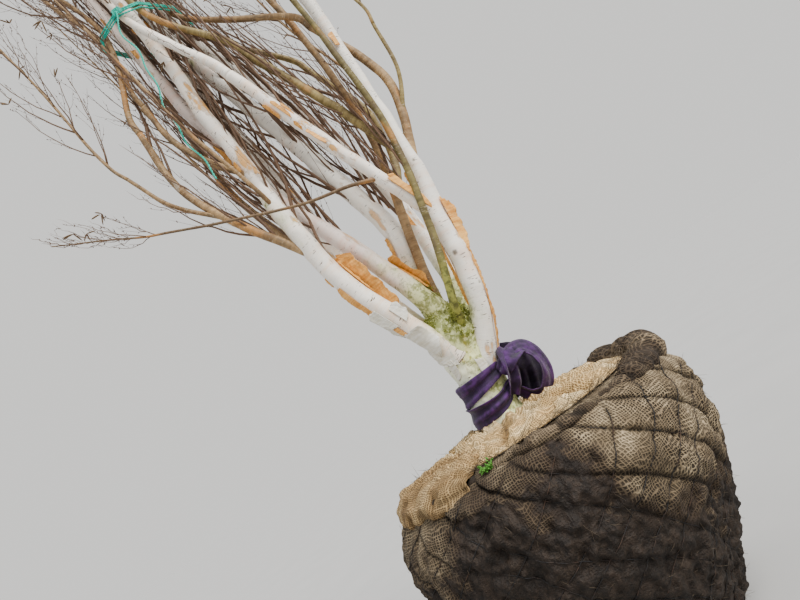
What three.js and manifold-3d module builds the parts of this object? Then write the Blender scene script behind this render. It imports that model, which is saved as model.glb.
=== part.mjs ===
// A young white-barked birch with several stems, lifted in winter for planting.
// It stands on its root ball, which is wrapped in sacking and wire netting. Its bare crown is tied up with
// twine, and a lifting strap is hitched round the foot of the trunk.
// Millimetres, +Z up, the front towards -Y. The origin is the middle of the ball's flat underside.
import * as THREE from "three";
import { mergeVertices } from "three/addons/utils/BufferGeometryUtils.js";
import Module from "manifold-3d";

const wasm = await Module();
wasm.setup();

// Driving dimensions
const GAP = 0.35; // clearance between two pieces that touch on the real plant
const BALL_TOP = 575; // height of the soil, where the trunk is cut off flat
const BALL_WIDEST = 425; // height at which the ball is widest
const BALL_FOOT_R = 176; // radius of the flat underside
const BALL_BELLY_R = 395; // radius where the ball is widest
const BALL_RIM_R = 268; // radius of the flat top
const BALL_COLUMNS = 30;
const CLOTH_THICK = 9; // the clean sacking folded over the soil
const WIRE_R = 3.2;
const WIRES_EACH_WAY = 7;
const NET_TOP = 546; // height at which the netting comes out from under the hem
const NET_FOOT = 30; // height at which it ends
const NET_TURNS = 0.3; // share of a turn that a slanting wire makes on its way down
const NET_STAND = 7.2; // how far the wires' middles stand off the ball
const TIE_LOW = 1950; // height of the lower twine tie
const TIE_HIGH = 2650; // height of the upper twine tie
const TWINE_R = 2.4;
const GOLDEN_ANGLE = 2.39996;

// Finishes
const finish = (color, roughness) => new THREE.MeshStandardMaterial({ color, roughness, metalness: 0 });
const DIRTY_SACKING = finish(0x5c5142, 0.95);
const CLEAN_SACKING = finish(0xb79a6c, 0.95);
const NET_WIRE = finish(0x3a3632, 0.6);
const WHITE_BARK = finish(0xe3dcd2, 0.65);
const BROWN_BARK = finish(0x7a5f3e, 0.7);
const TWIG_BARK = finish(0x5a4433, 0.7);
const STRAP_WEB = finish(0x4a2b66, 0.75);
const GREEN_TWINE = finish(0x2fb29a, 0.5);

const root = new THREE.Group();
root.name = "sapling";
const clamp01 = (t) => Math.min(1, Math.max(0, t));
const xyz = (p) => new THREE.Vector3(p[0], p[1], p[2]);

// Numbers between 0 and 1 that come out the same on every run.
function dice(seed) {
  let state = seed >>> 0;
  return () => {
    state = (Math.imul(state, 1664525) + 1013904223) >>> 0;
    return state / 4294967296;
  };
}

// Solids and geometries
function solidOf(geometry) {
  const bare = geometry.index ? geometry.toNonIndexed() : geometry.clone();
  for (const name of Object.keys(bare.attributes)) {
    if (name !== "position") bare.deleteAttribute(name);
  }
  const merged = mergeVertices(bare, 1e-3);
  const mesh = new wasm.Mesh({
    numProp: 3,
    vertProperties: merged.attributes.position.array,
    triVerts: new Uint32Array(merged.index.array),
  });
  return new wasm.Manifold(mesh);
}

// The largest body of a solid, with loose scraps dropped.
function mainBody(solid) {
  const bodies = solid.decompose();
  return bodies.reduce((best, body) => (body.volume() > best.volume() ? body : best));
}

function geometryOf(solid) {
  const mesh = mainBody(solid).getMesh();
  const geometry = new THREE.BufferGeometry();
  geometry.setAttribute("position", new THREE.BufferAttribute(new Float32Array(mesh.vertProperties), 3));
  geometry.setIndex(Array.from(mesh.triVerts));
  geometry.computeVertexNormals();
  return geometry;
}

function addPiece(name, solid, material) {
  const mesh = new THREE.Mesh(geometryOf(solid), material);
  mesh.name = name;
  root.add(mesh);
}

// A closed round bar bent along a curve. radiusAt gives its radius at each share of the length.
function bar(curve, radiusAt, sides, steps) {
  const tip = radiusAt(1) < 0.05 ? 0 : 1;
  const geometry = new THREE.CylinderGeometry(tip, 1, 1, sides, steps);
  const frames = curve.computeFrenetFrames(steps, false);
  const place = geometry.attributes.position;
  for (let i = 0; i < place.count; i++) {
    const ring = Math.round((place.getY(i) + 0.5) * steps);
    const share = ring / steps;
    const across = Math.hypot(place.getX(i), place.getZ(i)) < 1e-6 ? 0 : 1;
    const turn = Math.atan2(place.getZ(i), place.getX(i));
    const radius = radiusAt(share) * across;
    const point = curve.getPointAt(share);
    point.addScaledVector(frames.binormals[ring], Math.cos(turn) * radius);
    point.addScaledVector(frames.normals[ring], Math.sin(turn) * radius);
    place.setXYZ(i, point.x, point.y, point.z);
  }
  return solidOf(geometry);
}

// The root ball

// How far the lumpy ball stands out from the plain turned shape, at a bearing and a height.
function lumps(bearing, z) {
  const rounded = Math.sin(Math.PI * clamp01(z / BALL_TOP));
  const broad = 0.026 * Math.sin(2 * bearing + 0.4) + 0.022 * Math.sin(3 * bearing - 0.9 + z / 160);
  const fine = 0.012 * Math.sin(5 * bearing + z / 70) + 0.009 * Math.sin(8 * bearing - z / 95);
  const flatRight = -0.11 * Math.exp(-(((Math.cos(bearing + 0.15) - 1) / 0.35) ** 2));
  return 1 + rounded * (broad + fine + flatRight);
}

// The plain radius of the ball's side at a height.
function ballRadius(z) {
  if (z <= BALL_WIDEST) {
    return BALL_FOOT_R + (BALL_BELLY_R - BALL_FOOT_R) * Math.sin((Math.PI / 2) * clamp01(z / BALL_WIDEST));
  }
  const share = clamp01((z - BALL_WIDEST) / (BALL_TOP - BALL_WIDEST));
  return BALL_RIM_R + (BALL_BELLY_R - BALL_RIM_R) * Math.sqrt(1 - share * share);
}

function onBall(bearing, z, out = 0) {
  const radius = ballRadius(z) * lumps(bearing, z) + out;
  return new THREE.Vector3(radius * Math.cos(bearing), radius * Math.sin(bearing), z);
}

// The whole ball, grown by out on every side when it is used as a cutter.
function ballSolid(out = 0) {
  const heights = [14, 50, 100, 160, 225, 290, 350, 400, 445, 485, 520, 548, 566];
  const profile = [new THREE.Vector2(0, -out), new THREE.Vector2(BALL_FOOT_R - 8 + out, -out)];
  for (const z of heights) profile.push(new THREE.Vector2(ballRadius(z) + out, z));
  profile.push(new THREE.Vector2(BALL_RIM_R + out, BALL_TOP + out), new THREE.Vector2(0, BALL_TOP + out));
  const geometry = new THREE.LatheGeometry(profile, BALL_COLUMNS);
  geometry.rotateX(Math.PI / 2);
  const place = geometry.attributes.position;
  for (let i = 0; i < place.count; i++) {
    const [x, y, z] = [place.getX(i), place.getY(i), place.getZ(i)];
    const swell = lumps(Math.atan2(y, x), z);
    place.setXYZ(i, x * swell, y * swell, z);
  }
  return solidOf(geometry);
}

// One wire of the diamond netting, wound down the ball from the rim at a slant.
function netWire(bearing, slant, grow) {
  const points = [];
  for (let i = 0; i <= 8; i++) {
    const z = NET_TOP + ((NET_FOOT - NET_TOP) * i) / 8;
    points.push(onBall(bearing + slant * NET_TURNS * 2 * Math.PI * (i / 8), z, NET_STAND));
  }
  return bar(new THREE.CatmullRomCurve3(points), () => WIRE_R + grow, 3, 9);
}

function wireNet(grow = 0) {
  const wires = [];
  for (let i = 0; i < WIRES_EACH_WAY; i++) {
    const bearing = (i / WIRES_EACH_WAY) * 2 * Math.PI;
    wires.push(netWire(bearing, 1, grow), netWire(bearing, -1, grow));
  }
  return wasm.Manifold.union(wires).subtract(ballSolid(GAP));
}

// Where the trunk stands on the soil.
const TRUNK_FOOT = [-27, 0, BALL_TOP - 12];

// The clean sacking that lies on the soil inside the hem, with a hole where the trunk comes through.
function topCloth() {
  const [inner, outer, columns] = [70, 258, 26];
  const profile = [
    new THREE.Vector2(inner, 0),
    new THREE.Vector2(outer, 0),
    new THREE.Vector2(outer + 3, CLOTH_THICK * 0.6),
    new THREE.Vector2(outer - 20, CLOTH_THICK),
    new THREE.Vector2((inner + outer) / 2, CLOTH_THICK + 5),
    new THREE.Vector2(inner + 12, CLOTH_THICK + 9),
    new THREE.Vector2(inner, CLOTH_THICK + 3),
    new THREE.Vector2(inner, 0),
  ];
  const geometry = new THREE.LatheGeometry(profile, columns);
  geometry.rotateX(Math.PI / 2);
  const place = geometry.attributes.position;
  for (let i = 0; i < place.count; i++) {
    const [x, y, z] = [place.getX(i), place.getY(i), place.getZ(i)];
    const [bearing, r] = [Math.atan2(y, x), Math.hypot(x, y)];
    const inside = clamp01((outer - r) / (outer - inner));
    const ruffle = z > 1 ? 3 * Math.sin(4 * bearing + r / 40) + 2 * Math.sin(9 * bearing) : 0;
    place.setXYZ(i, x + TRUNK_FOOT[0] * inside, y, BALL_TOP + GAP + z + ruffle * clamp01(inside * 3));
  }
  return solidOf(geometry);
}

// How thick the rolled hem of the outer sacking is at a bearing. It bunches up at the right and at the left.
function hemThickness(bearing) {
  const near = (middle, width) => Math.exp(-(((Math.cos(bearing - middle) - 1) / width) ** 2));
  return 13 + 20 * near(0.1, 0.3) + 14 * near(3.05, 0.1) + 8 * near(1.8, 0.1) + 2.5 * Math.sin(7 * bearing);
}

function hemSolid() {
  const ring = new THREE.TorusGeometry(1, 0.1, 7, 32);
  const place = ring.attributes.position;
  for (let i = 0; i < place.count; i++) {
    const bearing = Math.atan2(place.getY(i), place.getX(i));
    const tube = hemThickness(bearing);
    const rise = (place.getZ(i) / 0.1) * tube;
    const outwards = ((Math.hypot(place.getX(i), place.getY(i)) - 1) / 0.1) * tube * 1.25;
    const middle = 304 + tube * 0.55 + 7 * Math.sin(5 * bearing + 1);
    const z = 556 + 0.25 * tube + 6 * Math.sin(3 * bearing) + rise;
    const radius = (middle + outwards) * lumps(bearing, 545);
    place.setXYZ(i, radius * Math.cos(bearing), radius * Math.sin(bearing), z);
  }
  return solidOf(ring);
}

// Limbs: the points that each one passes, foot first, and its radius at each of them.
const TRUNK = {
  line: [
    TRUNK_FOOT,
    [-26, 0, 600],
    [-24, 0, 640],
    [-21, 0, 730],
    [-19, 0, 800],
    [-15, 2, 855],
    [-12, 6, 905],
  ],
  girth: [80, 63, 55, 52, 59, 60, 30],
  sides: 12,
  steps: 10,
};

// The main stems. Each leaves the trunk at its foot and stands off at its shoulder, knee and belly. It is
// drawn in again where the two ties gather the crown.
const STEMS = {
  stem_right: {
    foot: [-6, -10, 700],
    shoulder: [72, -42, 862],
    knee: [106, -49, 1060],
    belly: [138, -50, 1400],
    tied: [118, -40, TIE_LOW],
    gathered: [-222, -38, TIE_HIGH],
    girth: [26, 24, 27, 17, 15, 12],
  },
  stem_left: {
    foot: [-30, -26, 780],
    shoulder: [-100, -54, 925],
    knee: [-166, -63, 1100],
    belly: [-205, -60, 1430],
    tied: [-246, -32, TIE_LOW],
    gathered: [-328, -50, TIE_HIGH],
    girth: [25, 24, 24, 20, 16, 12],
  },
  stem_middle: {
    foot: [0, -4, 850],
    shoulder: [-33, -8, 963],
    knee: [-100, -3, 1130],
    belly: [-205, 4, 1410],
    tied: [-300, 2, TIE_LOW],
    gathered: [-374, -4, TIE_HIGH],
    girth: [27, 26, 22, 18, 15, 11],
  },
  stem_rear: {
    foot: [-24, 22, 850],
    shoulder: [-24, 44, 985],
    knee: [-1, 62, 1130],
    belly: [-64, 64, 1400],
    tied: [-210, 42, TIE_LOW],
    gathered: [-312, 34, TIE_HIGH],
    girth: [26, 26, 26, 23, 16, 12],
  },
  stem_back_left: {
    foot: [-34, 24, 790],
    shoulder: [-84, 72, 920],
    knee: [-132, 106, 1090],
    belly: [-176, 118, 1400],
    tied: [-244, 84, TIE_LOW],
    gathered: [-346, 74, TIE_HIGH],
    girth: [24, 23, 22, 19, 15, 11],
  },
  stem_back_right: {
    foot: [6, 24, 790],
    shoulder: [46, 76, 915],
    knee: [60, 112, 1090],
    belly: [18, 124, 1400],
    tied: [-168, 84, TIE_LOW],
    gathered: [-268, 64, TIE_HIGH],
    girth: [23, 22, 21, 18, 15, 11],
  },
  stem_slim: {
    foot: [-6, 8, 870],
    shoulder: [0, 22, 960],
    knee: [28, 30, 1090],
    belly: [92, 34, 1400],
    tied: [44, 56, 2000],
    gathered: [-262, 6, TIE_HIGH],
    girth: [13, 13, 12, 10, 8, 6],
  },
  shoot_front: {
    foot: [6, -30, 830],
    shoulder: [32, -80, 915],
    knee: [78, -86, 1065],
    belly: [128, -84, 1370],
    tied: [62, -78, 2000],
    gathered: [-244, -86, TIE_HIGH],
    girth: [11, 10, 9, 8, 6, 5],
  },
};
for (const stem of Object.values(STEMS)) {
  stem.line = [stem.foot, stem.shoulder, stem.knee, stem.belly, stem.tied, stem.gathered];
}

// The boughs. Each leaves a stem at a height and swings out. It ends where its twigs begin, under the lower
// tie.
const BOUGHS = {
  bough_front: {
    parent: "stem_right",
    leaves: 1085,
    line: [[52, -92, 1215], [-32, -104, 1420], [-112, -106, 1640]],
    girth: [17, 16, 15, 13],
  },
  bough_left: {
    parent: "stem_left",
    leaves: 1165,
    line: [[-284, -86, 1318], [-366, -84, 1490], [-380, -70, 1670]],
    girth: [11, 10, 9, 8],
  },
  bough_left_upper: {
    parent: "stem_left",
    leaves: 1425,
    line: [[-268, -66, 1500], [-322, -58, 1610], [-342, -42, 1740]],
    girth: [9, 9, 8, 7],
  },
  bough_crossing: {
    parent: "stem_right",
    leaves: 1250,
    line: [[98, -22, 1350], [20, -28, 1540], [-58, -40, 1715]],
    girth: [12, 12, 11, 10],
  },
  bough_right: {
    parent: "stem_right",
    leaves: 1205,
    line: [[178, -30, 1330], [200, -12, 1450], [120, 0, 1680]],
    girth: [12, 12, 11, 10],
  },
  bough_back_left: {
    parent: "stem_back_left",
    leaves: 1180,
    line: [[-244, 172, 1320], [-306, 182, 1490], [-318, 150, 1680]],
    girth: [11, 11, 10, 9],
  },
  bough_back_right: {
    parent: "stem_back_right",
    leaves: 1200,
    line: [[112, 178, 1320], [128, 190, 1480], [60, 172, 1670]],
    girth: [11, 11, 10, 9],
  },
  // Thin spurs low in the crown, and one stray shoot that crosses the front and reaches out to the left.
  spur_front: {
    parent: "stem_left",
    leaves: 1290,
    line: [[-214, -118, 1390], [-246, -140, 1500]],
    girth: [6, 5, 4.5],
  },
  spur_left: {
    parent: "bough_left",
    leaves: 1360,
    line: [[-396, -112, 1450], [-448, -128, 1560]],
    girth: [6, 5, 4.5],
  },
  spur_right: {
    parent: "bough_right",
    leaves: 1340,
    line: [[232, -38, 1440], [246, -42, 1570]],
    girth: [6, 5, 4.5],
  },
  spur_back_left: {
    parent: "bough_back_left",
    leaves: 1350,
    line: [[-300, 226, 1450], [-338, 248, 1570]],
    girth: [6, 5, 4.5],
  },
  spur_back_right: {
    parent: "bough_back_right",
    leaves: 1350,
    line: [[150, 226, 1450], [158, 244, 1570]],
    girth: [6, 5, 4.5],
  },
  shoot_stray: {
    parent: "bough_front",
    leaves: 1225,
    line: [[-20, -128, 1240], [-130, -138, 1265], [-300, -146, 1330], [-440, -132, 1398]],
    girth: [5, 4, 3.6, 3.2, 3],
  },
};

const curveOf = (points) => new THREE.CatmullRomCurve3(points.map(xyz), false, "centripetal");

// The radius at a share of the way along a limb, between the girths at its points.
function girthAt(limb, share) {
  const along = limb.shares;
  let i = 0;
  while (i < along.length - 2 && share > along[i + 1]) i++;
  const part = clamp01((share - along[i]) / (along[i + 1] - along[i]));
  return limb.girth[i] + (limb.girth[i + 1] - limb.girth[i]) * part;
}

// The shares of a curve's length at which it passes its own points.
function sharesOf(curve) {
  const fine = 20;
  const count = curve.points.length - 1;
  curve.arcLengthDivisions = count * fine;
  const lengths = curve.getLengths(count * fine);
  const whole = lengths[lengths.length - 1];
  return curve.points.map((_, i) => lengths[i * fine] / whole);
}

function prepare(name, limb) {
  limb.name = name;
  limb.curve = curveOf(limb.line);
  limb.shares = sharesOf(limb.curve);
  const length = limb.curve.getLength();
  limb.sides = limb.sides ?? (limb.girth[0] > 15 ? 8 : 6);
  limb.steps = limb.steps ?? Math.round(length / (limb.girth[0] > 15 ? 135 : 95));
}

const limbSolid = (limb, grow = 0) =>
  bar(limb.curve, (share) => girthAt(limb, share) + grow, limb.sides, limb.steps);

// The share of its length at which a curve passes a height.
function shareAtHeight(curve, z) {
  let [low, high] = [0, 1];
  for (let i = 0; i < 30; i++) {
    const middle = (low + high) / 2;
    if (curve.getPointAt(middle).z < z) low = middle;
    else high = middle;
  }
  return low;
}

prepare("trunk", TRUNK);
for (const [name, stem] of Object.entries(STEMS)) prepare(name, stem);
for (const [name, bough] of Object.entries(BOUGHS)) {
  const parent = STEMS[bough.parent] ?? BOUGHS[bough.parent];
  const foot = parent.curve.getPointAt(shareAtHeight(parent.curve, bough.leaves));
  bough.line = [[foot.x, foot.y, foot.z], ...bough.line];
  prepare(name, bough);
}

function cutAway(solid, cutters) {
  const near = cutters.filter((cutter) => cutter.minGap(solid, 1) < 1);
  return near.reduce((left, cutter) => left.subtract(cutter), solid);
}

// Every limb is cut back from those made before it, so that it meets them with only the small clearance.
function cutLimbs() {
  const grown = limbSolid(TRUNK, GAP);
  const cutters = [grown.add(grown.translate([0, 0, GAP]))];
  addPiece("trunk", limbSolid(TRUNK).subtract(ballSolid(GAP)), WHITE_BARK);
  const all = [...Object.values(STEMS), ...Object.values(BOUGHS)];
  for (const limb of all) {
    const solid = cutAway(limbSolid(limb), cutters);
    addPiece(limb.name, solid, limb.girth[0] > 14 ? WHITE_BARK : BROWN_BARK);
    cutters.push(limbSolid(limb, GAP));
  }
  return cutters;
}

// Masses of bare twigs. Each grows on from the end of a limb along a leader, which passes the points of its
// line and ends at the mass's own tip. Twigs leave the leader by a seeded rule. One that would come nearer to
// another leader, or touch a limb, is left out.
const MASSES = {
  twigs_stem_right: { limb: "stem_right", line: [[-196, -170, 3980]], count: 11, reach: 430 },
  twigs_stem_left: { limb: "stem_left", line: [[-420, -190, 4080]], count: 11, reach: 430 },
  twigs_stem_middle: { limb: "stem_middle", line: [[-560, -40, 4180]], count: 11, reach: 430 },
  twigs_stem_rear: { limb: "stem_rear", line: [[-400, 20, 4380]], count: 11, reach: 430 },
  twigs_stem_back_left: { limb: "stem_back_left", line: [[-500, 190, 4060]], count: 11, reach: 420 },
  twigs_stem_back_right: { limb: "stem_back_right", line: [[-270, 200, 4150]], count: 11, reach: 420 },
  twigs_stem_slim: { limb: "stem_slim", line: [[-200, 20, 3800]], count: 9, reach: 360 },
  twigs_shoot_front: { limb: "shoot_front", line: [[-290, -300, 3620]], count: 9, reach: 340 },
  twigs_bough_front: {
    limb: "bough_front",
    line: [[-256, -84, TIE_LOW], [-276, -150, 2260], [-330, -310, 3280]],
    count: 12,
    reach: 400,
  },
  twigs_bough_left: {
    limb: "bough_left",
    line: [[-326, -50, TIE_LOW], [-428, -96, 2260], [-600, -230, 3260]],
    count: 12,
    reach: 400,
  },
  twigs_bough_left_upper: {
    limb: "bough_left_upper",
    line: [[-344, -16, TIE_LOW], [-448, 6, 2260], [-660, 30, 3420]],
    count: 12,
    reach: 400,
  },
  twigs_bough_crossing: {
    limb: "bough_crossing",
    line: [[-214, -72, TIE_LOW], [-196, -140, 2260], [-150, -300, 3160]],
    count: 12,
    reach: 380,
  },
  twigs_bough_right: {
    limb: "bough_right",
    line: [[-160, 16, TIE_LOW], [-108, 84, 2260], [-10, 90, 3300]],
    count: 12,
    reach: 400,
  },
  twigs_bough_back_left: {
    limb: "bough_back_left",
    line: [[-294, 112, TIE_LOW], [-340, 190, 2260], [-470, 330, 3240]],
    count: 12,
    reach: 400,
  },
  twigs_bough_back_right: {
    limb: "bough_back_right",
    line: [[-150, 124, TIE_LOW], [-146, 196, 2260], [-130, 320, 3260]],
    count: 12,
    reach: 400,
  },
  twigs_spur_front: {
    limb: "spur_front",
    line: [[-330, -190, 1900], [-440, -260, 2420]],
    count: 7,
    reach: 320,
  },
  twigs_spur_left: {
    limb: "spur_left",
    line: [[-520, -130, 1900], [-620, -140, 2380]],
    count: 7,
    reach: 320,
  },
  twigs_spur_right: {
    limb: "spur_right",
    line: [[160, -70, 1900], [90, -110, 2420]],
    count: 7,
    reach: 320,
  },
  twigs_spur_back_left: {
    limb: "spur_back_left",
    line: [[-410, 240, 1900], [-520, 270, 2400]],
    count: 7,
    reach: 320,
  },
  twigs_spur_back_right: {
    limb: "spur_back_right",
    line: [[70, 250, 1900], [10, 300, 2420]],
    count: 7,
    reach: 320,
  },
  twigs_stray: { limb: "shoot_stray", line: [[-580, -112, 1478], [-700, -105, 1545]], count: 6, reach: 170 },
};
const LEADER_TIP_R = 1.2;
const TWIG_R = 2.1; // a twig's radius at its own foot
const TWIG_TIP_R = 0.04;
const TWIG_CLEAR = 3; // room kept between twigs of two masses, and between twigs and limbs

const sample = (curve, count) => curve.getSpacedPoints(count);

function distanceTo(points, p) {
  let best = Infinity;
  const [line, near] = [new THREE.Line3(), new THREE.Vector3()];
  for (let i = 0; i + 1 < points.length; i++) {
    line.set(points[i], points[i + 1]).closestPointToPoint(p, true, near);
    best = Math.min(best, near.distanceTo(p));
  }
  return best;
}

// The leader of a mass: it starts just clear of its limb's end, in line with it, and passes its points.
function leaderOf(mass, limb) {
  const end = limb.curve.getPointAt(1);
  const heading = limb.curve.getTangentAt(1);
  const start = end.clone().addScaledVector(heading, GAP);
  const next = start.clone().addScaledVector(heading, 45);
  return curveOf([start.toArray(), next.toArray(), ...mass.line]);
}

// One twig: it leaves the leader at a slant and turns upwards.
function twigCurve(leader, share, bearing, length) {
  const foot = leader.getPointAt(share);
  const heading = leader.getTangentAt(share);
  const side = new THREE.Vector3(Math.cos(bearing), Math.sin(bearing), 0);
  side.addScaledVector(heading, -side.dot(heading)).normalize();
  const out = heading.clone().multiplyScalar(0.86).addScaledVector(side, 0.5).normalize();
  const middle = foot.clone().addScaledVector(out, length * 0.5);
  const up = new THREE.Vector3(0, 0, 0.5).addScaledVector(heading, 0.7).addScaledVector(side, 0.12);
  const end = middle.clone().addScaledVector(up.normalize(), length * 0.55);
  return new THREE.QuadraticBezierCurve3(foot, middle, end);
}

function growMasses() {
  const limbs = [TRUNK, ...Object.values(STEMS), ...Object.values(BOUGHS)];
  const lines = limbs.map((limb) => ({ limb, points: sample(limb.curve, 40) }));
  const grown = Object.entries(MASSES).map(([name, mass], index) => {
    const limb = STEMS[mass.limb] ?? BOUGHS[mass.limb];
    const leader = leaderOf(mass, limb);
    return { name, mass, index, limb, leader, points: sample(leader, 24) };
  });
  for (const one of grown) {
    const next = dice(101 + one.index * 17);
    let solid = leaderSolid(one);
    for (let i = 0; i < one.mass.count; i++) {
      const share = 0.04 + 0.92 * ((i + next() * 0.6) / one.mass.count);
      const bearing = i * GOLDEN_ANGLE + next() * 0.8;
      const wanted = one.mass.reach * (1 - 0.62 * share) * (0.75 + 0.5 * next());
      const tries = [1, 0.7, 0.5].flatMap((cut) => [0, 2.1, 4.2].map((turn) => [turn, cut]));
      const curves = tries.map(([turn, cut]) => twigCurve(one.leader, share, bearing + turn, wanted * cut));
      const free = curves.find((curve) => isFree(curve, one, grown, lines));
      if (free) solid = solid.add(bar(free, (s) => TWIG_R + (TWIG_TIP_R - TWIG_R) * s, 3, 2));
    }
    addPiece(one.name, solid, TWIG_BARK);
  }
  return grown;
}

const leaderRadius = (one, share) => {
  const foot = girthAt(one.limb, 1);
  return foot + (LEADER_TIP_R - foot) * share ** 0.8;
};

const leaderSolid = (one, grow = 0) => bar(one.leader, (share) => leaderRadius(one, share) + grow, 4, 8);

// Whether a twig stays in its own mass's space and clear of all limbs and of the two ties.
function isFree(curve, own, masses, lines) {
  for (const s of [0.25, 0.5, 0.75, 1]) {
    const p = curve.getPoint(s);
    const home = distanceTo(own.points, p);
    for (const other of masses) {
      if (other !== own && distanceTo(other.points, p) < home + TWIG_CLEAR * 2) return false;
    }
    for (const { limb, points } of lines) {
      const thick = Math.max(...limb.girth.slice(-3));
      if (distanceTo(points, p) < thick + TWIG_CLEAR && limb !== own.limb) return false;
    }
    if (Math.abs(p.z - TIE_HIGH) < 70 && Math.hypot(p.x + 296, p.y) < 135) return false;
    if (Math.abs(p.z - TIE_LOW) < 70 && Math.hypot(p.x + 248, p.y - 14) < 185) return false;
  }
  return true;
}

// Twine

// The outline that a taut cord takes round a bundle of circles, as points of their convex hull.
function hullRound(circles, away) {
  const spots = [];
  for (const { point, radius } of circles) {
    for (let i = 0; i < 10; i++) {
      const turn = (i / 10) * 2 * Math.PI;
      spots.push([point.x + (radius + away) * Math.cos(turn), point.y + (radius + away) * Math.sin(turn)]);
    }
  }
  spots.sort((a, b) => a[0] - b[0] || a[1] - b[1]);
  const left = (o, a, b) => (a[0] - o[0]) * (b[1] - o[1]) - (a[1] - o[1]) * (b[0] - o[0]) > 0;
  const chain = (list) => {
    const kept = [];
    for (const s of list) {
      while (kept.length > 1 && !left(kept.at(-2), kept.at(-1), s)) kept.pop();
      kept.push(s);
    }
    return kept.slice(0, -1);
  };
  return [...chain(spots), ...chain([...spots].reverse())];
}

// One turn of twine round a bundle at a height: its outline extruded, less the space inside it.
function twineTurn(circles, z) {
  const band = (grow, from, to) => {
    const outline = hullRound(circles, GAP + grow).map(([x, y]) => new THREE.Vector2(x, y));
    const settings = { depth: to - from, bevelEnabled: false };
    const geometry = new THREE.ExtrudeGeometry(new THREE.Shape(outline), settings);
    geometry.translate(0, 0, z + from);
    return solidOf(geometry);
  };
  return band(2 * TWINE_R, -TWINE_R, TWINE_R).subtract(band(0, -9, 9));
}

// A tie of several turns of twine, one over the other, with a knot that joins them on the camera's side.
function twineTie(z, turns, limbs, leaders) {
  const section = (curve, radiusAt, level) => {
    const share = shareAtHeight(curve, level);
    return { point: curve.getPointAt(share), radius: radiusAt(share) / curve.getTangentAt(share).z };
  };
  const sections = (level) => [
    ...limbs.map((limb) => section(limb.curve, (share) => girthAt(limb, share), level)),
    ...leaders.map((one) => section(one.leader, (share) => leaderRadius(one, share), level)),
  ];
  const circles = [-7, 0, 7].flatMap((step) => sections(z + step));
  const reach = (circle) => circle.point.y - circle.radius;
  const front = circles.reduce((best, circle) => (reach(circle) < reach(best) ? circle : best));
  const levels = Array.from({ length: turns }, (_, i) => z + (i - (turns - 1) / 2) * TWINE_R * 1.7);
  const tie = wasm.Manifold.union(levels.map((level) => twineTurn(circles, level)));
  const knot = new THREE.SphereGeometry(8, 8, 6);
  knot.scale(1.3, 0.7, 1.1);
  knot.translate(front.point.x, front.point.y - front.radius - 7, z);
  const limbCutters = limbs.map((limb) => limbSolid(limb, GAP));
  const cutters = [...limbCutters, ...leaders.map((one) => leaderSolid(one, GAP))];
  return { solid: cutAway(tie.add(solidOf(knot)), cutters), front };
}

// The loose end of the twine, hanging down the front from the knot of the lower tie.
function twineTail(front) {
  const [x, y] = [front.point.x, front.point.y - front.radius - 12];
  const sway = [[0, 0, 2], [-12, -16, 50], [-4, -26, 170], [-22, -34, 350], [-6, -30, 520]];
  const line = sway.map(([dx, dy, down]) => [x + dx, y + dy, TIE_LOW - down]);
  return bar(curveOf(line), () => TWINE_R, 5, 14);
}

// The lifting strap: two flat turns round the trunk, the hitch at their right and the loop that hangs there.
const STRAP_WIDE = 42;
const STRAP_THICK = 6;

// One turn of the strap: a slanting slice of a sleeve that fits the trunk.
function strapTurn(z, slope) {
  const slice = new THREE.BoxGeometry(260, 260, STRAP_WIDE);
  slice.rotateY(-Math.atan(slope));
  slice.translate(TRUNK_FOOT[0], 0, z);
  return limbSolid(TRUNK, GAP + STRAP_THICK).intersect(solidOf(slice));
}

// The hitch, a bunched fold of the strap that crosses both turns.
function strapHitch(grow = 0) {
  const hitch = new THREE.SphereGeometry(1, 10, 8);
  hitch.scale(20 + grow * 1.2, 30 + grow * 1.2, 52 + grow * 1.2);
  hitch.rotateY(-0.3);
  hitch.translate(44, -20, 694);
  return solidOf(hitch);
}

// The loop: a band bent to and fro in the upright plane, standing out to the right.
function strapLoop() {
  const curve = curveOf([
    [46, -24, 712],
    [86, -28, 728],
    [110, -28, 704],
    [118, -26, 660],
    [100, -24, 622],
    [66, -22, 618],
  ]);
  const section = new THREE.Shape();
  const [thick, wide] = [4, STRAP_WIDE / 2];
  section.moveTo(-wide, -thick);
  section.lineTo(wide, -thick);
  section.lineTo(wide, thick);
  section.lineTo(-wide, thick);
  section.closePath();
  return solidOf(new THREE.ExtrudeGeometry(section, { steps: 14, extrudePath: curve }));
}

// Assembly
addPiece("root_ball", ballSolid(), DIRTY_SACKING);
addPiece("wire_net", wireNet(), NET_WIRE);
addPiece("top_cloth", topCloth().subtract(limbSolid(TRUNK, GAP)), CLEAN_SACKING);
addPiece("cloth_hem", hemSolid().subtract(ballSolid(GAP)).subtract(wireNet(GAP)), DIRTY_SACKING);
const cutters = cutLimbs();
const strap = strapTurn(698, 0.22).add(strapTurn(645, 0.16)).add(strapHitch());
addPiece("strap_turns", cutAway(strap, cutters), STRAP_WEB);
addPiece("strap_loop", cutAway(strapLoop().subtract(strapHitch(GAP)), cutters), STRAP_WEB);
const grown = growMasses();
const inLowTie = ["stem_left", "stem_middle", "stem_rear", "stem_back_left", "stem_back_right"];
const leadersInLowTie = grown.filter((one) => one.name.startsWith("twigs_bough"));
const low = twineTie(TIE_LOW, 3, inLowTie.map((name) => STEMS[name]), leadersInLowTie);
addPiece("twine_low", low.solid, GREEN_TWINE);
const high = twineTie(TIE_HIGH - 12, 2, Object.values(STEMS), []);
addPiece("twine_high", high.solid, GREEN_TWINE);
addPiece("twine_tail", twineTail(low.front).subtract(low.solid), GREEN_TWINE);
export default root;
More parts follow.
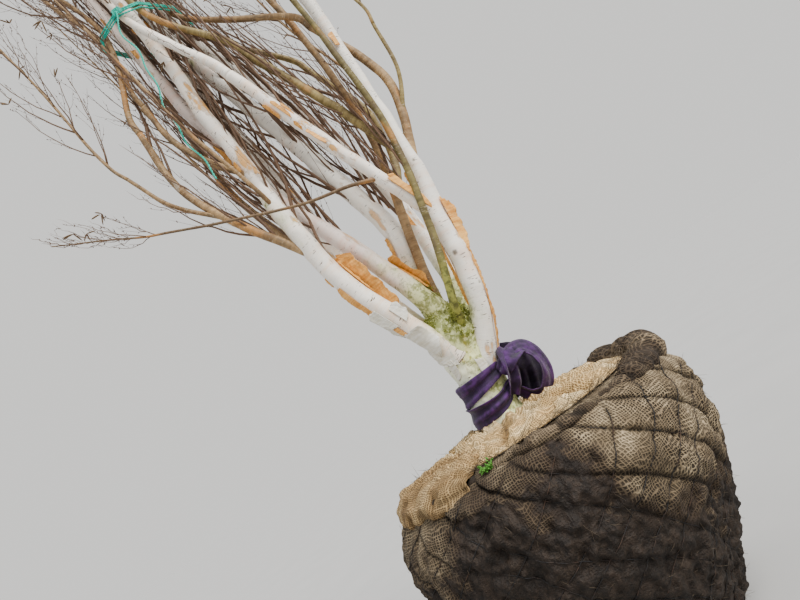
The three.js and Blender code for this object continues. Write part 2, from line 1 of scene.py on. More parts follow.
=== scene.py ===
# %% [markdown]
# # A young birch on its root ball
# A white-barked birch with several stems, lifted in winter. Its ball of soil is wrapped in sacking and wire
# netting, its bare crown is tied up with twine, and a lifting strap is hitched round the foot of the trunk.
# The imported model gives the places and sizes. This lesson builds the surfaces that one would see close by:
# bark, twigs, woven sacking, wire, webbing and twine.

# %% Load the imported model
import math
import bpy
import numpy as np
from mathutils import Matrix


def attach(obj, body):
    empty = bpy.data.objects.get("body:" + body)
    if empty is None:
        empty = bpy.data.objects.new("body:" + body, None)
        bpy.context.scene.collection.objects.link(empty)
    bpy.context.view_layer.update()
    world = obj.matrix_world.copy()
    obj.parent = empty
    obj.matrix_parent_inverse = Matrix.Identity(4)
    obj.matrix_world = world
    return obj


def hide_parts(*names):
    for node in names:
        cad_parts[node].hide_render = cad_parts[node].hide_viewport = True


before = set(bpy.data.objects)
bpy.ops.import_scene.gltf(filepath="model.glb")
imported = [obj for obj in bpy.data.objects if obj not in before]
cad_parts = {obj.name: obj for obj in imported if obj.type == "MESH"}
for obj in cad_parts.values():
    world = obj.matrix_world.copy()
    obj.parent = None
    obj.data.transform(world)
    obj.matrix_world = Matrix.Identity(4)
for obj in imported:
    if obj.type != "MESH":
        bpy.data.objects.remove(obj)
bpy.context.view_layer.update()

# %% [markdown]
# ## The camera
# The tree leans over to the left in the picture, because its ball lies tipped on its side there. Here the tree
# stands upright, so the camera is turned about its own line of sight until the trunk leans as it does in the
# picture. The directions below are the camera's right and its back. They are made exactly square to each other
# first, because a matrix of directions that aren't would shear the view.

# %% Camera
MM = 0.001
CAMERA_PLACE = (0.0, -1.651, 0.757)
CAMERA_RIGHT = (0.8265, 0.1119, -0.5517)
CAMERA_BACK = (0.0465, -0.9903, -0.1312)
bpy.ops.object.select_all(action="DESELECT")
bpy.ops.object.camera_add(location=CAMERA_PLACE)
camera = bpy.context.object
camera.name = "camera"
right, back = np.array(CAMERA_RIGHT), np.array(CAMERA_BACK)
right /= np.linalg.norm(right)
back -= right * (right @ back)
back /= np.linalg.norm(back)
turned = Matrix(np.stack([right, np.cross(back, right), back], 1).tolist()).to_4x4()
camera.matrix_world = Matrix.Translation(CAMERA_PLACE) @ turned
camera.data.lens = 31.1
camera.data.sensor_width = 36.0
camera.data.clip_start, camera.data.clip_end = 0.05, 200.0
bpy.context.scene.camera = camera
print("camera at", CAMERA_PLACE, "lens", round(camera.data.lens, 1), "mm")

# %% [markdown]
# ## Curves and chance
# The limbs follow the same smooth curves as the solids, so the same arithmetic is written here: a centripetal
# Catmull-Rom curve, which passes its points without loops, read by its length. Chance comes from a small counter
# of our own, so that every run draws the same numbers as the solids did.


# %% Dice
class Dice:
    """Numbers between 0 and 1 that come out the same on every run."""

    def __init__(self, seed):
        self.state = seed & 0xFFFFFFFF

    def __call__(self):
        self.state = (self.state * 1664525 + 1013904223) & 0xFFFFFFFF
        return self.state / 4294967296

    def between(self, low, high):
        return low + (high - low) * self()


throw = Dice(1)
print("the first three throws:", [round(throw(), 3) for _ in range(3)])


# %% Directions and places
def unit(v):
    """Directions of length one, for one vector or a whole list of them."""
    v = np.asarray(v, float)
    return v / np.maximum(np.linalg.norm(v, axis=-1, keepdims=True), 1e-12)


def square_to(v, head):
    """The direction of v when its share along head is taken out."""
    return unit(v - head * (v * head).sum(-1, keepdims=True))


def places(x, y=0.0, z=0.0):
    """Points from lists of their coordinates. One number will do for a coordinate that is the same for all."""
    return np.stack(np.broadcast_arrays(x, y, z), -1)


def around(r, b, z):
    """Points at distances r from the upright axis, at bearings b and heights z."""
    return places(r * np.cos(b), r * np.sin(b), z)


def ramp(x, low, high):
    """0 below low, 1 above high, and smooth between them."""
    t = np.clip((np.asarray(x, float) - low) / (high - low), 0, 1)
    return t * t * (3 - 2 * t)


print("halfway up a smooth ramp:", float(ramp(0.5, 0, 1)))


# %% Curves
class Curve:
    """A smooth curve through points, in metres, read by the share of its length."""

    def __init__(self, points, divisions=200):
        self.points = np.array(points, float)
        self.grid = np.linspace(0, 1, divisions + 1)
        fine = self.raw(self.grid)
        self.lengths = np.concatenate([[0], np.cumsum(np.linalg.norm(np.diff(fine, axis=0), axis=1))])
        self.length = self.lengths[-1]

    def raw(self, t):
        p = self.points
        t = np.atleast_1d(t)
        spot = t * (len(p) - 1)
        i = np.minimum(np.floor(spot).astype(int), len(p) - 2)
        w = (spot - i)[:, None]
        ends = np.vstack([2 * p[0] - p[1], p, 2 * p[-1] - p[-2]])
        p0, p1, p2, p3 = (ends[i + k] for k in range(4))
        d0, d1, d2 = (np.linalg.norm(b - a, axis=1, keepdims=True) ** 0.5 for a, b in ((p0, p1), (p1, p2), (p2, p3)))
        t1 = ((p1 - p0) / d0 - (p2 - p0) / (d0 + d1) + (p2 - p1) / d1) * d1
        t2 = ((p2 - p1) / d1 - (p3 - p1) / (d1 + d2) + (p3 - p2) / d2) * d1
        return p1 + t1 * w + (-3 * p1 + 3 * p2 - 2 * t1 - t2) * w**2 + (2 * p1 - 2 * p2 + t1 + t2) * w**3

    def raw_share(self, share):
        return np.interp(np.atleast_1d(share) * self.length, self.lengths, self.grid)

    def at(self, share):
        found = self.raw(self.raw_share(share))
        return found if np.ndim(share) else found[0]

    def heading(self, share):
        t = self.raw_share(share)
        found = unit(self.raw(np.minimum(t + 1e-4, 1)) - self.raw(np.maximum(t - 1e-4, 0)))
        return found if np.ndim(share) else found[0]

    def share_at_height(self, z):
        low, high = 0.0, 1.0
        for _ in range(30):
            middle = (low + high) / 2
            low, high = (middle, high) if self.at(middle)[2] < z else (low, middle)
        return low


print("length of a straight curve:", round(Curve([(0, 0, 0), (0, 0, 1), (0, 0, 2)]).length, 3))


# %% Fields of chance
def cloud(p, size, seed, octaves=3):
    """A smooth field of chance, about -1 to 1. Size is that of its largest blobs, in metres."""
    rng = np.random.default_rng(seed)
    p = np.asarray(p, float)
    total = 0
    for octave in range(octaves):
        waves = unit(rng.normal(size=(9, 3))) * rng.uniform(0.7, 1.3, (9, 1)) * 2 * np.pi / size * 2**octave
        phase = rng.uniform(0, 2 * np.pi, 9)
        total = total + np.sin(p @ waves.T + phase).sum(-1) / 3 * 0.5**octave
    return total * 0.75


def ridged(p, size, seed, octaves=3):
    """The same field folded over, so that it has sharp ridges, as creased cloth has."""
    return 1 - 2 * np.abs(cloud(p, size, seed, octaves))


print("a field of chance:", cloud(np.eye(3), 0.1, 1).round(2))

# %% [markdown]
# ## Meshes
# A modeller rolls a flat grid into a tube, or bends a ball into a sack. Each primitive below is added by its
# operator, its seam is merged and its ends are closed in edit mode, and then its points are moved to where the
# real surface is. Twigs by the thousand are written straight from arrays, because an operator for each of them
# would take an hour.


# %% Points, edit mode and tubes
def added(name, operator, **settings):
    """A primitive from its operator, under a name of our own."""
    bpy.ops.object.select_all(action="DESELECT")
    operator(**settings)
    piece = bpy.context.object
    piece.name = name
    return piece


def read_points(piece):
    co = np.empty(len(piece.data.vertices) * 3)
    piece.data.vertices.foreach_get("co", co)
    return co.reshape(-1, 3)


def write_points(piece, points):
    piece.data.vertices.foreach_set("co", np.ascontiguousarray(points, float).ravel())
    piece.data.update()


def give(piece, name, values):
    """Keeps a number or a vector for each point, for the materials to read."""
    values = np.asarray(values, np.float32)
    kind, key = ("FLOAT", "value") if values.ndim == 1 else ("FLOAT_VECTOR", "vector")
    piece.data.attributes.new(name, kind, "POINT").data.foreach_set(key, values.ravel())


def only(piece):
    bpy.ops.object.select_all(action="DESELECT")
    piece.select_set(True)
    bpy.context.view_layer.objects.active = piece


def edit(piece, *steps):
    """Runs edit-mode operators on the whole piece."""
    only(piece)
    bpy.ops.object.mode_set(mode="EDIT")
    bpy.ops.mesh.select_all(action="SELECT")
    for step in steps:
        step()
    bpy.ops.object.mode_set(mode="OBJECT")


def smooth(piece):
    only(piece)
    bpy.ops.object.shade_smooth()


def apply_modifier(piece, kind, **settings):
    only(piece)
    modifier = piece.modifiers.new(kind.title(), kind)
    for key, value in settings.items():
        setattr(modifier, key, value)
    bpy.ops.object.modifier_apply(modifier=modifier.name)


def flat_grid(name, across, along):
    """A grid of faces, and for each point its share across and its share along."""
    piece = added(name, bpy.ops.mesh.primitive_grid_add, x_subdivisions=across, y_subdivisions=along, size=1)
    piece.data.name = name
    flat = read_points(piece)
    return piece, flat[:, 0] + 0.5, flat[:, 1] + 0.5


def tube(name, sides, rings):
    """A grid rolled into a closed tube, and for each point its bearing round it and its share along it."""
    piece, across, along = flat_grid(name, sides, rings)
    write_points(piece, around(1.0, across * 2 * np.pi, along * 4))
    edit(
        piece,
        lambda: bpy.ops.mesh.remove_doubles(threshold=1e-5),
        lambda: bpy.ops.mesh.fill_holes(sides=0),
        lambda: bpy.ops.mesh.normals_make_consistent(inside=False),
    )
    smooth(piece)
    rolled = read_points(piece)
    return piece, np.arctan2(rolled[:, 1], rolled[:, 0]), rolled[:, 2] / 4


# %% Rods from arrays
def cross_frames(points):
    """For lines of points (…, K, 3): headings, and two directions across them that turn as little as they can."""
    head = unit(np.gradient(points, axis=-2))
    side = np.zeros_like(head[..., 0, :]) + [0.1, -1.0, 0.0]
    sides = []
    for k in range(points.shape[-2]):
        side = square_to(side, head[..., k, :])
        sides.append(side)
    a = np.stack(sides, -2)
    return head, a, np.cross(head, a)


def mesh_piece(name, points, quads, tris, tints):
    """One object from arrays of points and faces, with the number of each face's material."""
    mesh = bpy.data.meshes.new(name)
    mesh.vertices.add(len(points))
    mesh.vertices.foreach_set("co", np.ascontiguousarray(points, float).ravel())
    corners = np.concatenate([quads.ravel(), tris.ravel()]).astype(np.int32)
    starts = np.concatenate([np.arange(len(quads)) * 4, len(quads) * 4 + np.arange(len(tris)) * 3])
    mesh.loops.add(len(corners))
    mesh.loops.foreach_set("vertex_index", corners)
    mesh.polygons.add(len(starts))
    mesh.polygons.foreach_set("loop_start", starts.astype(np.int32))
    mesh.polygons.foreach_set("material_index", tints.astype(np.int32))
    mesh.update(calc_edges=True)
    mesh.polygons.foreach_set("use_smooth", np.ones(len(starts), bool))
    piece = bpy.data.objects.new(name, mesh)
    bpy.context.scene.collection.objects.link(piece)
    return piece


def rods(lines, radii, sides, phase=0.0):
    """Many thin closed rods of one kind. lines is (T, K, 3), radii (T, K). Each ends in a point.
    Returns points, four-sided faces, three-sided faces, and for both kinds of face the rod they belong to."""
    lines, radii = np.asarray(lines, float), np.asarray(radii, float)
    count, steps = radii.shape
    _, a, b = cross_frames(lines)
    turn = np.arange(sides) / sides * 2 * np.pi + phase
    ring = np.cos(turn)[:, None] * a[:, :-1, None, :] + np.sin(turn)[:, None] * b[:, :-1, None, :]
    body = lines[:, :-1, None, :] + ring * radii[:, :-1, None, None]
    points = np.concatenate([body.reshape(count, -1, 3), lines[:, -1:, :]], 1)
    size = points.shape[1]
    k = np.arange(steps - 2)[:, None] * sides
    i, j = np.arange(sides)[None, :], (np.arange(sides)[None, :] + 1) % sides
    quads = np.stack([k + i, k + j, k + sides + j, k + sides + i], -1).reshape(-1, 4)
    last = (steps - 2) * sides
    fan = np.stack([last + i[0], last + j[0], np.full(sides, size - 1)], -1)
    foot = np.array([[0, c + 1, c] for c in range(1, sides - 1)])
    tris = np.concatenate([fan, foot])
    base = (np.arange(count) * size)[:, None, None]
    faces = (quads[None] + base).reshape(-1, 4), (tris[None] + base).reshape(-1, 3)
    owners = (np.repeat(np.arange(count), len(kind)) for kind in (quads, tris))
    return points.reshape(-1, 3), *faces, *owners


class Bundle:
    """Collects rods of several shapes, with a colour number each, and joins them to one piece."""

    def __init__(self):
        self.points, self.quads, self.tris, self.quad_tint, self.tri_tint, self.size = [], [], [], [], [], 0

    def add(self, lines, radii, sides, tints):
        if len(lines) == 0:
            return
        points, quads, tris, of_quad, of_tri = rods(lines, radii, sides)
        tints = np.broadcast_to(np.asarray(tints), (len(lines),))
        self.points.append(points)
        self.quads.append(quads + self.size)
        self.tris.append(tris + self.size)
        self.quad_tint.append(tints[of_quad])
        self.tri_tint.append(tints[of_tri])
        self.size += len(points)

    def piece(self, name):
        parts = (self.points, self.quads, self.tris, self.quad_tint + self.tri_tint)
        return mesh_piece(name, *(np.concatenate(part) for part in parts))


# %% [markdown]
# ## A way of writing materials
# Node trees are easier to read as sums. A Tone stands for one output of a node, and the signs + - * ** between
# Tones add Math nodes. Any other node is made by one method that sets its choices first and then its sockets.


# %% Material helper
class Tone:
    """One number that changes over a surface, as the output of a node."""

    def __init__(self, finish, socket):
        self.finish, self.socket = finish, socket

    def math(self, operation, *others):
        node = self.finish.tree.nodes.new("ShaderNodeMath")
        node.operation = operation
        for place, value in enumerate(others):
            self.finish.put(node.inputs[place], value)
        return Tone(self.finish, node.outputs[0])

    def __add__(self, other): return self.math("ADD", self, other)
    def __radd__(self, other): return self.math("ADD", other, self)
    def __sub__(self, other): return self.math("SUBTRACT", self, other)
    def __rsub__(self, other): return self.math("SUBTRACT", other, self)
    def __mul__(self, other): return self.math("MULTIPLY", self, other)
    def __pow__(self, other): return self.math("POWER", self, other)
    def sine(self): return self.math("SINE", self)
    def most(self, other): return self.math("MAXIMUM", self, other)
    def least(self, other): return self.math("MINIMUM", self, other)

    def ramp(self, low, high):
        """0 at low and 1 at high, smooth between them. Low may be the greater, for a ramp that falls."""
        flip = low > high
        low, high = min(low, high), max(low, high)
        settings = {"interpolation_type": "SMOOTHSTEP"}
        found = self.finish.node(
            "ShaderNodeMapRange", settings, {"Value": self, "From Min": low, "From Max": high}
        )
        return 1 - found if flip else found


class Finish:
    """One material, with its Principled shader."""

    def __init__(self, name, roughness=0.8, **constants):
        self.material = bpy.data.materials.new(name)
        self.material.use_nodes = True
        self.tree = self.material.node_tree
        self.shader = self.tree.nodes["Principled BSDF"]
        self.shader.inputs["Roughness"].default_value = roughness
        for key, value in constants.items():
            self.shader.inputs[key.replace("_", " ")].default_value = value

    def put(self, socket, value):
        if isinstance(value, Tone):
            self.tree.links.new(value.socket, socket)
        elif isinstance(value, tuple) and len(value) == 3 and socket.type == "RGBA":
            socket.default_value = (*value, 1.0)
        else:
            socket.default_value = value

    def node(self, kind, settings=None, sockets=None, out=0):
        node = self.tree.nodes.new(kind)
        for key, value in (settings or {}).items():
            setattr(node, key, value)
        for key, value in (sockets or {}).items():
            self.put(node.inputs[key], value)
        return Tone(self, node.outputs[out])

    def place(self):
        """Where on the object the surface is, in metres."""
        return self.node("ShaderNodeTexCoord", out="Object")

    def own(self, name):
        """A number kept for each point of the piece."""
        return self.node("ShaderNodeAttribute", {"attribute_name": name}, out="Fac")

    def own_vector(self, name):
        return self.node("ShaderNodeAttribute", {"attribute_name": name}, out="Vector")

    def stretched(self, vector, scale):
        return self.node("ShaderNodeMapping", {}, {"Vector": vector, "Scale": scale})

    def noise(self, vector, scale, detail=4.0, roughness=0.55):
        """Soft chance between 0 and 1."""
        sockets = {"Vector": vector, "Scale": scale, "Detail": detail, "Roughness": roughness}
        return self.node("ShaderNodeTexNoise", {}, sockets, out="Fac")

    def drawn(self, vector, scale, detail=4.0, roughness=0.55):
        """Soft chance drawn out in a direction: scale says how fine it is along each axis."""
        return self.noise(self.stretched(vector, scale), 1.0, detail, roughness)

    def mix(self, base, over, share):
        """A colour laid over another as far as share says."""
        node = self.tree.nodes.new("ShaderNodeMix")
        node.data_type = "RGBA"
        self.put(node.inputs[0], share)
        self.put(node.inputs[6], base)
        self.put(node.inputs[7], over)
        return Tone(self, node.outputs[2])

    def shade(self, colour, amount):
        """A colour made darker or lighter by a number round 1."""
        node = self.tree.nodes.new("ShaderNodeVectorMath")
        node.operation = "SCALE"
        self.put(node.inputs[0], colour)
        self.put(node.inputs["Scale"], amount)
        return Tone(self, node.outputs[0])

    def bump(self, height, distance, strength=1.0, under=None):
        sockets = {"Height": height, "Distance": distance, "Strength": strength}
        if under is not None:
            sockets["Normal"] = under
        return self.node("ShaderNodeBump", {}, sockets)

    def paint(self, colour, roughness=None, normal=None):
        self.put(self.shader.inputs["Base Color"], colour)
        if roughness is not None:
            self.put(self.shader.inputs["Roughness"], roughness)
        if normal is not None:
            self.put(self.shader.inputs["Normal"], normal)
        return self.material


def dress(piece, slot, nodes, *materials):
    """Gives a finished piece its materials and its body, and hides the solids that it stands for. Its slot is not used.
    """
    piece.data.materials.clear()
    for material in materials:
        piece.data.materials.append(material)
    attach(piece, "root")
    if nodes:
        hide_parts(*nodes)
    data = piece.data
    print(piece.name, len(data.vertices), "points", len(data.loops) - 2 * len(data.polygons), "triangles")


# %% [markdown]
# ## The shape of the root ball
# The ball is a lumpy turned form on a flat foot, the same as the solid. Netting wires slant down it both ways and
# press the sacking in, so that it bulges between them like a quilt. One function gives how far the cloth stands
# out at any place, and the sacking, the wires and the fibres all ask it.

# %% Sizes of the ball
BALL_TOP = 575 * MM
BALL_WIDEST = 425 * MM
BALL_FOOT_R = 176 * MM
BALL_BELLY_R = 395 * MM
BALL_RIM_R = 268 * MM
NET_RIM = 546 * MM
NET_DROP = 516 * MM
NET_TURNS = 0.3
NET_WIRES = 19
HEM_HEIGHT = 545 * MM
TRUNK_X = -27 * MM


def lumps(b, z):
    """How much wider than the plain turned form the ball is at bearings and heights."""
    mm = np.asarray(z) / MM
    rounded = np.sin(np.pi * np.clip(np.asarray(z) / BALL_TOP, 0, 1))
    broad = 0.026 * np.sin(2 * b + 0.4) + 0.022 * np.sin(3 * b - 0.9 + mm / 160)
    fine = 0.012 * np.sin(5 * b + mm / 70) + 0.009 * np.sin(8 * b - mm / 95)
    flat_right = -0.11 * np.exp(-(((np.cos(b + 0.15) - 1) / 0.35) ** 2))
    return 1 + rounded * (broad + fine + flat_right)


def ball_radius(z):
    """The radius of the plain turned form."""
    z = np.asarray(z, float)
    low = BALL_FOOT_R + (BALL_BELLY_R - BALL_FOOT_R) * np.sin(np.pi / 2 * np.clip(z / BALL_WIDEST, 0, 1))
    share = np.clip((z - BALL_WIDEST) / (BALL_TOP - BALL_WIDEST), 0, 1)
    high = BALL_RIM_R + (BALL_BELLY_R - BALL_RIM_R) * np.sqrt(1 - share * share)
    return np.where(z <= BALL_WIDEST, low, high)


def net_share(z):
    """How far down the netting a height is, from its rim to its foot."""
    return (NET_RIM - np.asarray(z)) / NET_DROP


WOBBLE = np.random.default_rng(7).normal(0, 1, (2, NET_WIRES, 6)) * [0.05, 0.04, 0.028, 0.02, 0.014, 0.012]
print("ball", BALL_BELLY_R * 2, "m wide,", BALL_TOP, "m high, netting", 2 * NET_WIRES, "wires")


# %% Where the cloth lies
def wire_bearing(family, wire, t):
    """The bearing of a wire at share t of its way down. Each one strays a little from its even place."""
    slant = 1 if family == 0 else -1
    stray = sum(WOBBLE[family, wire, k] * np.sin((k + 1) * np.pi * t * 0.9 + k) for k in range(6))
    return (wire + 0.5 * family) / NET_WIRES * 2 * np.pi + slant * NET_TURNS * 2 * np.pi * t + stray


def between_wires(family, b, z):
    """Distance in metres to the next wire of a family on each side: against the bearing, and along it."""
    t = net_share(z)
    r = ball_radius(z) * 0.72
    behind, ahead = np.full(np.shape(b), 9.0), np.full(np.shape(b), 9.0)
    for wire in range(NET_WIRES):
        gap = (b - wire_bearing(family, wire, t)) % (2 * np.pi)
        behind = np.minimum(behind, gap * r)
        ahead = np.minimum(ahead, (2 * np.pi - gap) * r)
    return behind, ahead


def mud_share(p):
    """How thickly wet mud lies over the cloth at places: it covers the lower part, higher at the left of the front."""
    x, y, z = p[..., 0], p[..., 1], p[..., 2]
    edge = 0.515 - 0.24 * ramp(x, 0.0, 0.19) - 0.11 * ramp(x, -0.19, -0.32) - 0.10 * ramp(y, -0.05, 0.2)
    edge = edge + 0.045 * cloud(p, 0.17, 25, 3) + 0.02 * cloud(p, 0.05, 26, 3)
    return ramp(edge - z, -0.13, 0.09)


def cloth_out(b, z):
    """How far the sacking stands out from the plain lumpy ball, and how deep it lies in a crease."""
    p = around(ball_radius(z) * lumps(b, z), b, z)
    netted = ramp(z, 0.012, 0.06) * ramp(z, 0.60, 0.55)
    under, over = between_wires(0, b, z)
    left, right = between_wires(1, b, z)
    sag = np.maximum(np.sin(np.pi * (under / (under + over)) ** 0.62), 0) ** 0.8
    cushion = np.maximum(np.sin(np.pi * left / (left + right)), 0) ** 0.7
    near_0, near_1 = np.minimum(under, over), np.minimum(left, right)
    pinch = np.maximum(np.exp(-((near_0 / 0.005) ** 2)), 0.75 * np.exp(-((near_1 / 0.0045) ** 2))) * netted
    pillow = (0.72 * sag + 0.28 * cushion * sag**0.5) * netted
    folds, small = ridged(p * [1, 1, 0.75], 0.13, 21), ridged(p, 0.05, 22)
    mud = ramp(mud_share(p) * ramp(z, 0.0, 0.05), 0.35, 0.8)
    clods = mud * (0.0032 * cloud(p, 0.035, 23, 4) + 0.0022 * ridged(p, 0.06, 27))
    pillow = pillow * (1 - 0.55 * mud)
    pinch = pinch * (1 - 0.35 * mud)
    slack = 0.75 + 0.35 * cloud(p, 0.25, 24, 2)
    out = slack * (0.0145 * pillow - 0.003 * pinch) - 0.003 + 0.0042 * folds + 0.0018 * small + clods
    return out * ramp(z, 0.0, 0.035), pinch


def on_cloth(b, z, above=0.0):
    """Points on the sacking, or a little above it."""
    out, _ = cloth_out(b, z)
    return around(ball_radius(z) * lumps(b, z) + out + above, b, z)


print("the cloth stands out by", cloth_out(np.arange(4.0), np.full(4, 0.3))[0].round(4), "m")

# %% [markdown]
# ## Sacking for the ball
# A ball primitive with many rings is bent to the ball's outline: the rings near its pole lie on top, most of them
# go down the side, and the last few close the flat underside. The weave is far finer than the mesh, so it is
# left to the material, which reads the bearing and the length down the side.


# %% The ball's sacking
CAP_SHARE = 0.05  # the share of the rings that closes the top, and of those that close the foot


def ball_sacking():
    piece = added("ball_sacking", bpy.ops.mesh.primitive_uv_sphere_add, segments=540, ring_count=170, radius=1)
    co = read_points(piece)
    bearing = np.arctan2(co[:, 1], co[:, 0])
    share = np.arccos(np.clip(co[:, 2], -1, 1)) / np.pi
    pole = np.hypot(co[:, 0], co[:, 1]) < 1e-6
    heights = BALL_TOP * (1 - np.linspace(0, 1, 500) ** 2)
    radii = ball_radius(heights)
    down = np.concatenate([[0], np.cumsum(np.hypot(np.diff(heights), np.diff(radii)))])
    side = np.clip((share - CAP_SHARE) / (1 - 2 * CAP_SHARE), 0, 1) * down[-1]
    z = np.interp(side, down, heights)
    r = np.interp(side, down, radii)
    r = np.where(share < CAP_SHARE, BALL_RIM_R * share / CAP_SHARE, r)
    r = np.where(share > 1 - CAP_SHARE, BALL_FOOT_R * (1 - share) / CAP_SHARE, r)
    r = r * lumps(bearing, z)
    give(piece, "mud", mud_share(around(r, bearing, z)))
    out, pinch = cloth_out(bearing, z)
    onside = ramp(share, 0.045, 0.06) * ramp(share, 0.955, 0.94)
    r = np.where(pole, 0, r + out * onside)
    write_points(piece, around(r, bearing, z))
    give(piece, "down", side)
    # Where painted shade darkens the sacking: in the creases that the wires press in.
    give(piece, "crease", pinch * onside)
    smooth(piece)
    return piece


ball = ball_sacking()
print("points of the sacking:", len(ball.data.vertices))

# %% Materials of the sacking
THREAD_PITCH = 6.2 * MM
THREADS_ROUND = round(2 * math.pi * 0.39 / THREAD_PITCH)


def weave(f, place):
    """How high the threads of a coarse cloth stand. They are pulled about, so that none runs quite straight."""
    x, y = (f.node("ShaderNodeSeparateXYZ", {}, {"Vector": place}, out=k) for k in range(2))
    bearing = f.node("ShaderNodeMath", {"operation": "ARCTAN2"}, {0: y, 1: x})
    drift = f.noise(place, 7.0, 3.0) - 0.5
    drift2 = f.noise(f.stretched(place, (1, 1, 1.7)), 9.0, 3.0) - 0.5
    jitter = f.noise(place, 60.0, 2.0) - 0.5
    jitter2 = f.noise(f.stretched(place, (1.3, 1, 1)), 75.0, 2.0) - 0.5
    u = bearing * THREADS_ROUND + drift * 60 + jitter * 5.5
    v = f.own("down") * (2 * math.pi / THREAD_PITCH) + drift2 * 60 + jitter2 * 5.5
    return ((u.sine() * 0.5 + 0.5) ** 2.0).most((v.sine() * 0.5 + 0.5) ** 2.0)


def sacking(name, thread, pale, soil_and_shade, mud, open_weave=1.0, soiled=1.0):
    """Coarse cloth woven of loose threads, with soil that shows between them. Shade is painted into its creases and
    folds in the soil's colour.
    """
    f = Finish(name, roughness=0.95)
    place = f.place()
    threads = weave(f, place)
    loose = f.noise(place, 9.0, 3.0).ramp(0.34, 0.62) * open_weave
    gaps = threads.ramp(0.66, 0.26) * (0.34 + loose * 0.66)
    fluff = f.noise(place, 260.0, 3.0)
    worn = f.noise(place, 16.0, 4.0)
    ragged = f.noise(place, 30.0, 5.0, 0.65)
    speckle = f.noise(place, 110.0, 4.0, 0.6)
    under_mud = f.own("mud")
    muddy = (under_mud * 1.9 + ragged * 1.1 + speckle * 0.6 - 1.75).ramp(0.0, 0.75) * soiled
    soaked = (under_mud * 1.5 + ragged * 0.7 - 0.35).ramp(0.0, 0.8)
    smear = f.noise(place, 26.0, 6.0, 0.68)
    grime = f.noise(place, 3.2, 4.0)
    grimy = (grime.ramp(0.42, 0.62) * 0.34 + speckle.ramp(0.5, 0.7) * 0.14) * soiled
    colour = f.mix(thread, pale, worn.ramp(0.42, 0.66))
    colour = f.shade(colour, 0.44 + threads * 0.50 + fluff * 0.34 - grimy)
    colour = f.mix(colour, soil_and_shade, gaps * 0.88)
    colour = f.mix(colour, f.shade(mud, 0.55 + threads * 0.9), soaked * soiled * 0.72)
    colour = f.mix(colour, mud, (muddy * 2.2).least(1.0) * (1 - threads.ramp(0.3, 0.8) * 0.75))
    wet = f.mix(f.shade(mud, 0.35), mud, (smear * 0.7 + speckle * 0.5).ramp(0.48, 0.74))
    peeking = (threads * 0.35 + ragged * 0.8 + smear * 0.5).ramp(0.92, 1.22) * 0.30
    colour = f.mix(colour, wet, (muddy * 1.6 - 0.25).ramp(0.0, 1.0) * (1 - peeking))
    # Painted shade: the creases and the hollows of the folds are darkened towards the soil colour.
    colour = f.mix(colour, soil_and_shade, f.own("crease") * 0.7)
    height = threads * (1 - muddy * 0.8) + fluff * 0.35 + muddy * speckle * 1.6
    normal = f.bump(height, 0.0024, 0.9, f.bump(smear, 0.010, 0.25 + muddy * 0.6))
    return f.paint(colour, 0.97 - muddy * 0.30, normal)


DIRTY_SACKING = sacking(
    "dirty_sacking", (0.235, 0.178, 0.112), (0.44, 0.35, 0.23), (0.016, 0.011, 0.007), (0.041, 0.0265, 0.017)
)
dress(ball, "dirty_sacking", ["root_ball"], DIRTY_SACKING)

# %% [markdown]
# ## Netting
# The netting is thin annealed wire in diamonds. Each wire is a bent rod that lies in its crease.


# %% Netting
WIRE_R = 0.95 * MM


def net_wires():
    bundle = Bundle()
    t = np.linspace(0.0, 1.0, 66)
    z = NET_RIM - NET_DROP * t
    lines = [
        on_cloth(wire_bearing(family, wire, t), z, above=0.0011 + 0.0005 * family)
        for family in (0, 1) for wire in range(NET_WIRES)
    ]
    bundle.add(lines, np.full((len(lines), len(t)), WIRE_R), 4, 0)
    return bundle.piece("netting")


def wire_finish():
    f = Finish("rusty_wire", roughness=0.6)
    place = f.place()
    rust = f.noise(place, 45.0, 4.0)
    colour = f.mix((0.022, 0.02, 0.02), (0.085, 0.05, 0.032), rust.ramp(0.45, 0.7))
    normal = f.bump(f.noise(place, 600.0, 2.0), 0.0004, 0.5)
    return f.paint(colour, 0.5 + rust * 0.35, normal)


dress(net_wires(), "net_wire", ["wire_net"], wire_finish())

# %% [markdown]
# ## The hem and the clean sacking on top
# The outer cloth is rolled in at the shoulder of the ball. The roll starts as a ring primitive. Under it lies
# clean sacking, gathered round the trunk in folds that run outwards.


# %% The rolled hem
def hem_thickness(b):
    """Half the height of the roll at bearings: it is thickest at the right."""
    near = lambda middle, width: np.exp(-(((np.cos(b - middle) - 1) / width) ** 2))
    mm = 13 + 20 * near(0.1, 0.3) + 3 * near(3.05, 0.1) + 8 * near(1.8, 0.1) + 2.5 * np.sin(7 * b)
    return mm * MM


def rolled_hem():
    ring_add = bpy.ops.mesh.primitive_torus_add
    piece = added("rolled_hem", ring_add, major_segments=400, minor_segments=30, major_radius=1, minor_radius=0.1)
    co = read_points(piece)
    b = np.arctan2(co[:, 1], co[:, 0])
    tube_r = hem_thickness(b)
    rise = co[:, 2] / 0.1
    outwards = (np.hypot(co[:, 0], co[:, 1]) - 1) / 0.1
    round_turn = np.arctan2(rise, outwards)
    ring = around(0.3, b, round_turn * 0.012)
    pleats = ridged(ring * [1, 1, 0.6], 0.055, 31)
    folds = cloud(ring, 0.16, 32, 3)
    swell = 1 + 0.20 * folds + 0.17 * pleats
    middle = 304 * MM + tube_r * 0.55 + 7 * MM * np.sin(5 * b + 1)
    radius = (middle + outwards * tube_r * 1.25 * swell + 0.004 * folds) * lumps(b, HEM_HEIGHT)
    z = 556 * MM + 0.25 * tube_r + 6 * MM * np.sin(3 * b) + rise * tube_r * swell + 0.003 * pleats
    write_points(piece, around(radius, b, z))
    give(piece, "down", round_turn * 0.02)
    # Where painted shade darkens the roll: in the hollows of its pleats.
    give(piece, "crease", ramp(pleats, -0.1, -0.8))
    give(piece, "mud", 0.35 + 0.4 * cloud(ring, 0.12, 33, 3))
    smooth(piece)
    return piece


